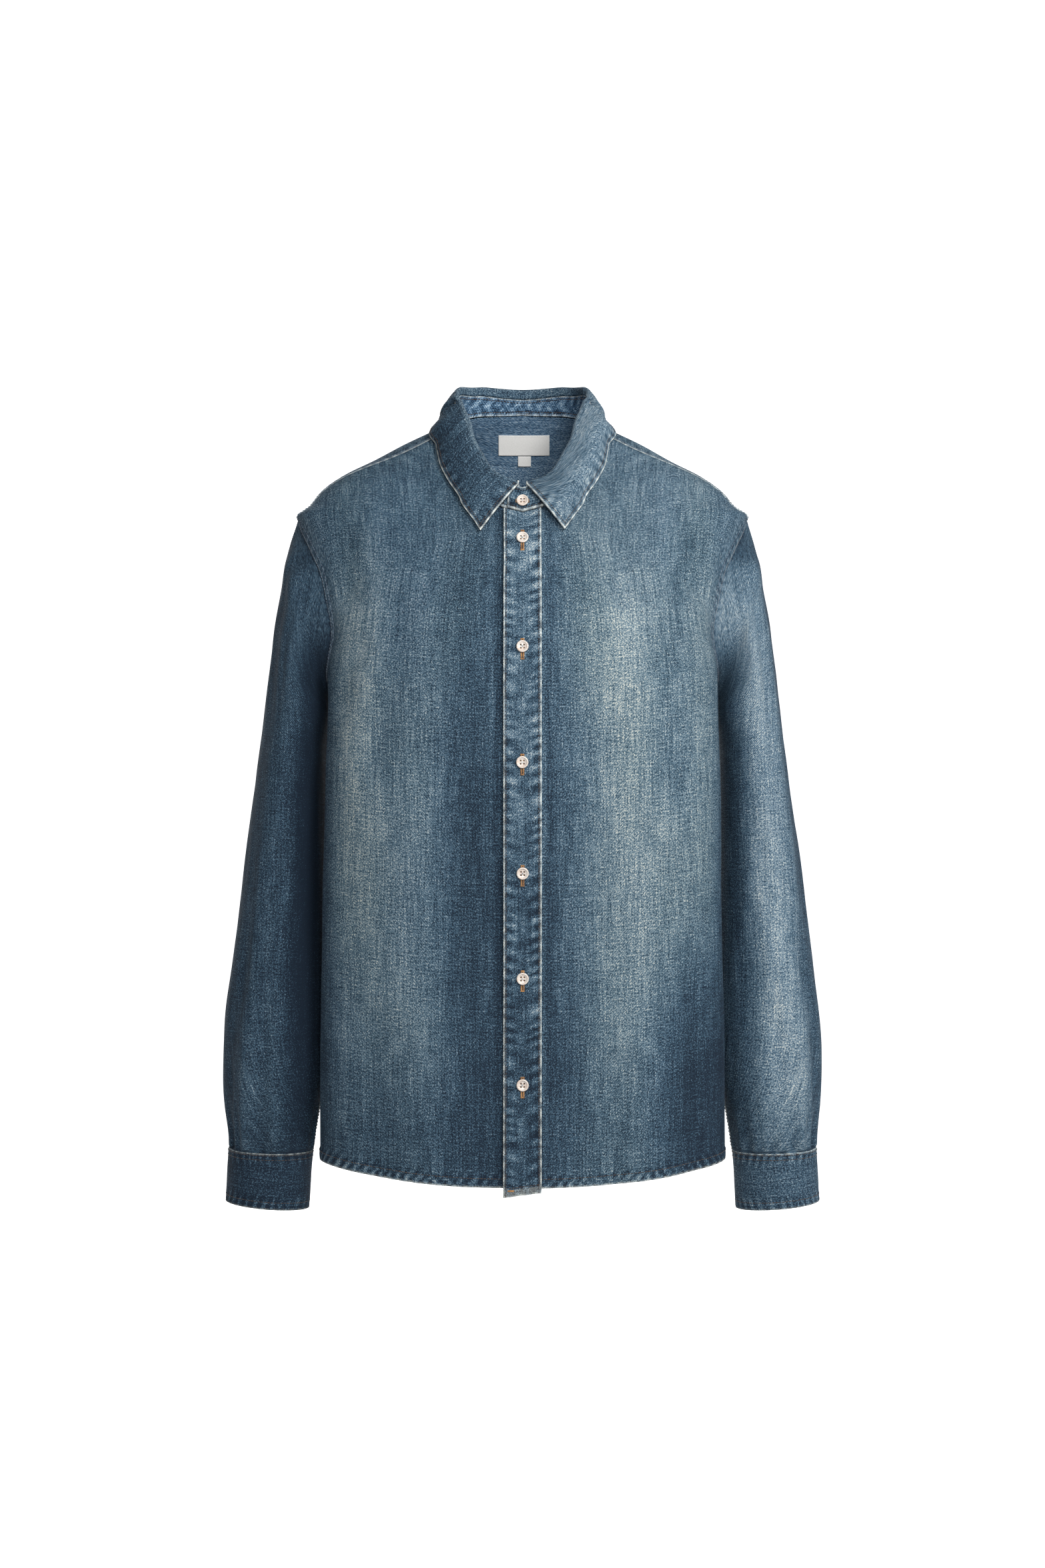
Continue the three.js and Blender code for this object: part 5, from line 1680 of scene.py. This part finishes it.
class SHIRT_OT_sleeves(ShirtOperator, Operator):
    """Makes both sleeves and the facings of their slits"""

    bl_idname = "shirt.sleeves"
    bl_label = "Sleeves"

    def execute(self, context):
        for name, side in SIDES.items():
            make_piece(f"sleeve_{name}", sleeve_cloth(side), "denim", "sleeve")
            make_piece(f"sleeve_placket_{name}", slit_cloth(side), "doubled", "slit")
        return {"FINISHED"}


class SHIRT_OT_cuffs(ShirtOperator, Operator):
    """Makes both cuffs, lapped at the back"""

    bl_idname = "shirt.cuffs"
    bl_label = "Cuffs"

    def execute(self, context):
        for name, side in SIDES.items():
            make_piece(f"cuff_{name}", cuff_cloth(side), "doubled", "cuff")
        return {"FINISHED"}


class SHIRT_OT_collar(ShirtOperator, Operator):
    """Makes the collar's stand and leaf"""

    bl_idname = "shirt.collar"
    bl_label = "Collar"

    def execute(self, context):
        make_piece("collar_stand", stand_cloth(), "doubled", "stand")
        make_piece("collar_leaf", leaf_cloth(), "doubled", "leaf")
        return {"FINISHED"}


HEM_INSET = HEM_DEPTH - 1.6
FELL_INSETS = (1.7, 7.4)  # the two rows beside a felled seam


class SHIRT_OT_stitching(ShirtOperator, Operator):
    """Sews the hem, placket, seams, cuffs and collar"""

    bl_idname = "shirt.stitching"
    bl_label = "Stitching"

    # group, piece, edge, inset, where it starts and ends along that edge, thread
    def lines(self):
        for side in SIDES.values():
            front, sleeve = front_cloth(side), sleeve_cloth(side)
            cuff, slit = cuff_cloth(side), slit_cloth(side)
            yield "hem", front, "bottom", HEM_INSET, 0.14 if side > 0 else 0.15, 1.0, "brown"
            for depth in FELL_INSETS:
                yield "seam", front, "right", depth, 0.66, 1.0, "blue"
            for edge, depth in (("bottom", 7.0), ("top", 6.0), ("top", 1.8)):
                yield "cuff", cuff, edge, depth, 0.0, 1.0, "brown"
            for edge in ("left", "right"):
                yield "cuff", cuff, edge, 2.0, 0.04, 0.96, "brown"
                yield "slit", slit, edge, 1.8, 0.02, 0.98, "brown"
            yield "slit", slit, "bottom", 1.8, 0.06, 0.94, "brown"
            for depth in (1.8, 7.2):
                yield "seam", sleeve, "left", depth, 0.02, 0.985, "blue"
        back, yoke, placket = back_cloth(), yoke_cloth(), placket_cloth()
        yield "hem", back, "bottom", HEM_INSET, 0.0, 1.0, "brown"
        for edge in ("left", "right"):
            for depth in FELL_INSETS:
                yield "seam", back, edge, depth, 0.05, 1.0, "blue"
            yield "seam", yoke, edge, 1.9, 0.0, 1.0, "blue"
            yield "placket", placket, edge, 2.4, 0.0, 1.0, "brown"
        for depth in (1.9, 7.4):
            yield "seam", yoke, "top", depth, 0.14, 0.86, "blue"
        yield "placket", placket, "bottom", 8.0, 0.1, 0.9, "brown"
        stand, leaf = stand_cloth(), leaf_cloth()
        yield "collar", leaf, "top", 3.8, 0.006, 0.994, "brown"
        for edge in ("left", "right"):
            yield "collar", leaf, edge, 3.8, 0.24, 0.97, "brown"
        for face in (stand, stand.reverse()):
            yield "collar", face, "bottom", 2.0, 0.0, 1.0, "brown"
            yield "collar", face, "top", 3.0, 0.0, 1.0, "brown"

    def execute(self, context):
        sewing = context.scene.shirt_sewing
        threads = {}
        for group, cloth, edge, depth, start, end, colour in self.lines():
            thread = threads.setdefault((group, colour), Thread(sewing.thread_radius / MM))
            thread.sew(*cloth.inset(edge, depth, start, end), sewing.stitch / MM, sewing.gap / MM)
        slots = {"brown": "tan_thread", "blue": "light_thread"}
        for (group, colour), thread in threads.items():
            thread.object(f"{group}_stitching", material(colour), slots[colour])
        return {"FINISHED"}


# Buttons
# The button's turned outline, from the middle of its back to the middle of its front
BUTTON_PROFILE = [
    (0.0, 0.15), (4.2, 0.15), (5.0, 0.32), (5.5, 0.8), (5.7, 1.35), (5.62, 1.85), (5.3, 2.25),
    (4.85, 2.4), (4.35, 2.3), (3.95, 1.85), (3.65, 1.42), (3.2, 1.25), (0.0, 1.2),
]
BUTTON_ROUND = 40
HOLE_OFF, HOLE_RADIUS, HOLE_SIDES = 1.5, 0.82, 14
DRILL_ENDS = (-1.0, 4.0)
THREAD_TOP = 1.26  # how high the thread lies over the back of the button
CROSS_REACH, CROSS_GAP = 1.05, 0.1  # the thread's reach on each diagonal, and half its gap
FRONT_BUTTONS = [-114, -216, -322, -424, -521, -619]
HOLE_ABOVE, HOLE_BELOW = 7.6, 11.8  # a buttonhole's ends from its button's centre
HOLE_HALF_WIDE = 1.75
HOLE_PITCH = 0.42  # from stitch to stitch along a buttonhole
COLLAR_HOLE_REACH, CUFF_HOLE_REACH = 6.4, 8.5
# The bar tack at the placket's foot
BAR_TACK_X, BAR_TACK_Z, BAR_TACK_ROWS = (-14.4, -7.6), -716.4, 4


def circle(radius, count, height, x=0.0, y=0.0):
    turns = 2 * np.pi * np.arange(count) / count
    return np.stack([x + radius * np.cos(turns), y + radius * np.sin(turns), height + 0 * turns], -1)


def tool_object(name, points, faces):
    mesh = bpy.data.meshes.new(name)
    mesh.from_pydata((np.concatenate(points) * MM).tolist(), [], faces)
    return linked(name, mesh)


@lru_cache(maxsize=None)
def button_mesh():
    """A turned button with a raised rim, a dished middle and four holes."""
    (_, foot), *turned, (_, top) = BUTTON_PROFILE
    points = [[[0, 0, foot]], *(circle(r, BUTTON_ROUND, h) for r, h in turned), [[0, 0, top]]]
    first, last = 1, 1 + BUTTON_ROUND * len(turned)
    faces = []
    for ring in range(len(turned) - 1):
        faces += ring_quads(first + ring * BUTTON_ROUND, BUTTON_ROUND)
    for k in range(BUTTON_ROUND):
        n = (k + 1) % BUTTON_ROUND
        faces += [(0, first + n, first + k), (last - BUTTON_ROUND + k, last - BUTTON_ROUND + n, last)]
    blank = tool_object("button_blank", points, faces)
    points, faces = [], []
    for x, y in ((1, 1), (-1, 1), (-1, -1), (1, -1)):
        base = HOLE_SIDES * len(points)
        points += [circle(HOLE_RADIUS, HOLE_SIDES, h, x * HOLE_OFF, y * HOLE_OFF) for h in DRILL_ENDS]
        faces += ring_quads(base, HOLE_SIDES)
        faces.append(tuple(base + k for k in reversed(range(HOLE_SIDES))))
        faces.append(tuple(base + HOLE_SIDES + k for k in range(HOLE_SIDES)))
    drills = tool_object("button_drills", points, faces)
    cut = blank.modifiers.new("holes", "BOOLEAN")
    cut.operation, cut.object, cut.solver = "DIFFERENCE", drills, "EXACT"
    bpy.context.view_layer.update()
    drilled = blank.evaluated_get(bpy.context.evaluated_depsgraph_get())
    made = bpy.data.meshes.new_from_object(drilled)
    for part in (blank, drills):
        bpy.data.objects.remove(part)
    made.materials.clear()
    return made


def frame_at(normal, up):
    """Across, up and out at a point on the cloth."""
    out = unit(normal)
    across = unit(np.cross(up, out))
    return across, np.cross(out, across), out


def place_button(node, point, normal, up, thread):
    across, rise, out = frame_at(normal, up)
    mesh = button_mesh().copy()
    matrix = np.eye(4)
    matrix[:3, 0], matrix[:3, 1], matrix[:3, 2] = across, rise, out
    matrix[:3, 3] = point * MM
    mesh.transform(Matrix(matrix.tolist()))
    new_object(f"resin_{node}", mesh, material("button"), "buttons", [node])
    for turn in (1, -1):
        slope, aside = (across * turn + rise) * CROSS_REACH, (across - rise * turn) * CROSS_GAP
        for shift in (-1, 1):
            middle = point + aside * shift + out * THREAD_TOP
            thread.lay((middle - slope)[None], (middle + slope)[None], out[None], 1.0 + 0.8 * (turn > 0))
    for x in (-HOLE_OFF, HOLE_OFF):
        for y in (-HOLE_OFF, HOLE_OFF):
            foot = point + across * x + rise * y
            through = foot + out * (THREAD_TOP + 0.1)
            thread.lay((foot - out * 0.6)[None], through[None], rise[None], 0.0)


def collar_button_place():
    base, up, out, _, height = neck_frame(np.array(2.0))
    return base + up * (height / 2), out, up


class SHIRT_OT_buttons(ShirtOperator, Operator):
    """Makes the buttons and the thread that holds them"""

    bl_idname = "shirt.buttons"
    bl_label = "Buttons"

    def execute(self, context):
        thread = Thread(BUTTON_THREAD)
        point, out, up = collar_button_place()
        place_button("button_collar", point + out * LAP, out, up, thread)
        for k, z in enumerate(FRONT_BUTTONS):
            point, normal = on_placket(np.array(0.0), np.array(float(z)), LAP)
            place_button(f"button_{k + 1}", point, normal, LEVEL, thread)
        for name, side in SIDES.items():
            point, normal = cuff_point(side, np.array(0.5), np.array(CUFF_BUTTON_SWING))
            place_button(f"cuff_button_{name}", point + normal * (1.5 * LAP), normal, LEVEL, thread)
        thread.object("button_thread", material("light"), "light_thread")
        return {"FINISHED"}


class SHIRT_OT_buttonholes(ShirtOperator, Operator):
    """Works the buttonholes round their slits"""

    bl_idname = "shirt.buttonholes"
    bl_label = "Buttonholes"

    def work(self, thread, slit, at, low, high):
        """Close stitches down both sides of a slit from low to high, bars across its ends, and a dark
        strand of painted shade along it.
        """
        place = np.arange(low + 1.0, high - 1.0, HOLE_PITCH)
        for sign in (-1, 1):
            inner, normals = at(0.3 * sign + 0 * place, place)
            outer, _ = at(HOLE_HALF_WIDE * sign * (1 + 0.06 * np.sin(place * 5)), place)
            thread.lay(inner, outer, normals)
        for end in (low, high - 0.9):
            bars = end + np.array([0.0, 0.4, 0.8])
            left, normals = at(-HOLE_HALF_WIDE - 0.15 + 0 * bars, bars)
            right, _ = at(HOLE_HALF_WIDE + 0.15 + 0 * bars, bars)
            thread.lay(left, right, normals)
        ends = np.array([low + 1.2, high - 1.2])
        line, normals = at(0 * ends, ends)
        # a near-black strand along the slit, painted shade in the cut
        slit.lay(line[:1], line[1:], normals[:1])

    def execute(self, context):
        thread, slit = Thread(HOLE_THREAD), Thread(SLIT_SHADE)
        for z in FRONT_BUTTONS:
            at = lambda x, rise, z=z: on_placket(x, z + rise, 0.35)
            self.work(thread, slit, at, -HOLE_BELOW, HOLE_ABOVE)
        point, out, up = collar_button_place()
        across = np.cross(up, out)

        def on_stand(x, run):
            aside = up * x[:, None]
            return point + aside + across * run[:, None] + out * 0.1, out + 0 * aside

        self.work(thread, slit, on_stand, -COLLAR_HOLE_REACH, COLLAR_HOLE_REACH)
        for side in SIDES.values():
            def on_cuff(x, run, side=side):
                swing = CUFF_BUTTON_SWING + run * CUFF_TURN
                place, normal = cuff_point(side, 0.5 + x / CUFF_DEEP, swing)
                return place + normal * 0.1, normal

            self.work(thread, slit, on_cuff, -CUFF_HOLE_REACH, CUFF_HOLE_REACH)
        for row in range(BAR_TACK_ROWS):
            height = np.full(2, BAR_TACK_Z + 0.4 * row)
            ends, normals = on_placket(np.array(BAR_TACK_X), height, 0.7)
            thread.lay(ends[:1], ends[1:], normals[:1])
        thread.object("buttonhole_thread", material("tan"), "tan_thread")
        # the slits' near-black strands, painted shade
        slit.object("buttonhole_slit_shades", material("slit"), "tan_thread")
        return {"FINISHED"}


# Stage
CAMERA_HEIGHT = -342.0
HALF_VIEW = math.radians(35.1) / 2
FLOOR_Z, BACKDROP_Y, SWEEP = -1.15, 4.0, 1.2
PAPER_START, PAPER_HALF_WIDE, PAPER_TOP = -6.0, 7.0, 5.0
LIT_POINT = Vector((0.0, 0.0, -0.35))  # where every light points
WARM_LIGHT, WHITE_LIGHT = (1.0, 0.99, 0.97), (1, 1, 1)
TOP_POWER, BACK_POWER = 5, 32
WORLD_COLOUR, WORLD_STRENGTH = (0.94, 0.96, 1.0, 1), 0.15


class SHIRT_OT_stage(ShirtOperator, Operator):
    """Makes the seamless floor, the lights and the camera"""

    bl_idname = "shirt.stage"
    bl_label = "Stage"

    def paper(self):
        bend = np.linspace(0, math.pi / 2, 24)
        centre_y, centre_z = BACKDROP_Y - SWEEP, FLOOR_Z + SWEEP
        curve = [(centre_y + SWEEP * math.sin(t), centre_z - SWEEP * math.cos(t)) for t in bend]
        profile = [(PAPER_START, FLOOR_Z), *curve, (BACKDROP_Y, PAPER_TOP)]
        points = [(x, y, z) for y, z in profile for x in (-PAPER_HALF_WIDE, PAPER_HALF_WIDE)]
        faces = [(2 * k, 2 * k + 1, 2 * k + 3, 2 * k + 2) for k in range(len(profile) - 1)]
        mesh = bpy.data.meshes.new("paper_sweep")
        mesh.from_pydata(points, [], faces)
        mesh.polygons.foreach_set("use_smooth", np.ones(len(faces), bool))
        mesh.materials.append(material("paper"))
        sweep = linked("paper_sweep", mesh)
        sweep.visible_diffuse = False  # the paper lights nothing, so the shirt's outline stays dark
        sweep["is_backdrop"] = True

    def light(self, name, place, size, power, colour=WHITE_LIGHT):
        data = bpy.data.lights.new(name, "AREA")
        data.shape, data.size, data.energy, data.color = "SQUARE", size, power, colour
        lamp = linked(name, data)
        lamp.location = place
        lamp.rotation_mode = "QUATERNION"
        lamp.rotation_quaternion = (LIT_POINT - Vector(place)).to_track_quat("-Z", "Y")

    def execute(self, context):
        stage = context.scene.shirt_stage
        self.paper()
        self.light("key_light", (0.95, -2.1, 0.75), 0.7, stage.key_power, WARM_LIGHT)
        self.light("side_light", (2.3, -0.9, 0.6), 0.8, stage.side_power, WARM_LIGHT)
        self.light("top_light", (0.2, 0.3, 2.0), 1.4, TOP_POWER)
        self.light("front_light", (0.1, -2.5, 0.2), 0.5, stage.front_power)
        self.light("back_light", (-0.6, 2.4, 0.8), 1.2, BACK_POWER)
        world = bpy.data.worlds.new("studio")
        context.scene.world = world
        world.use_nodes = True
        colour, strength = world.node_tree.nodes["Background"].inputs[:2]
        colour.default_value, strength.default_value = WORLD_COLOUR, WORLD_STRENGTH
        camera = bpy.data.cameras.new("camera")
        camera.lens = camera.sensor_width / 2 / math.tan(HALF_VIEW)
        camera.clip_end = 50
        viewer = linked("camera", camera)
        viewer.location = (0, -stage.camera_distance, CAMERA_HEIGHT * MM)
        viewer.rotation_euler = (math.pi / 2, 0, 0)
        context.scene.camera = viewer
        context.scene.view_settings.view_transform = "Standard"
        return {"FINISHED"}


class SHIRT_PT_panel(Panel):
    """Lists the shirt's settings and the steps that make it"""

    bl_label = "Denim Shirt"
    bl_idname = "SHIRT_PT_panel"
    bl_space_type = "VIEW_3D"
    bl_region_type = "UI"
    bl_category = "Shirt"

    def draw(self, context):
        layout, scene = self.layout, context.scene
        for settings in (scene.shirt_denim, scene.shirt_sewing, scene.shirt_trim, scene.shirt_stage):
            box = layout.box()
            for name in settings.__annotations__:
                box.prop(settings, name)
        for operator in OPERATORS:
            layout.operator(operator.bl_idname)


SETTINGS = (
    ("shirt_denim", ShirtDenim),
    ("shirt_sewing", ShirtSewing),
    ("shirt_trim", ShirtTrim),
    ("shirt_stage", ShirtStage),
)
OPERATORS = (
    SHIRT_OT_fronts, SHIRT_OT_placket, SHIRT_OT_back, SHIRT_OT_yoke, SHIRT_OT_tapes,
    SHIRT_OT_sleeves, SHIRT_OT_cuffs, SHIRT_OT_collar, SHIRT_OT_stitching, SHIRT_OT_buttonholes,
    SHIRT_OT_buttons, SHIRT_OT_stage,
)
CLASSES = (*(group for _, group in SETTINGS), *OPERATORS, SHIRT_PT_panel)


def register():
    for one in CLASSES:
        bpy.utils.register_class(one)
    for name, group in SETTINGS:
        setattr(bpy.types.Scene, name, PointerProperty(type=group))


def unregister():
    for name, _ in SETTINGS:
        delattr(bpy.types.Scene, name)
    for one in reversed(CLASSES):
        bpy.utils.unregister_class(one)


def main():
    register()
    for operator in OPERATORS:
        group, name = operator.bl_idname.split(".")
        getattr(getattr(bpy.ops, group), name)()
    sizes = {"cad": CAD_BOX, "visual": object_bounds()}
    {name: [list(corner) for corner in box] for name, box in sizes.items()}


if __name__ == "__main__":
    main()
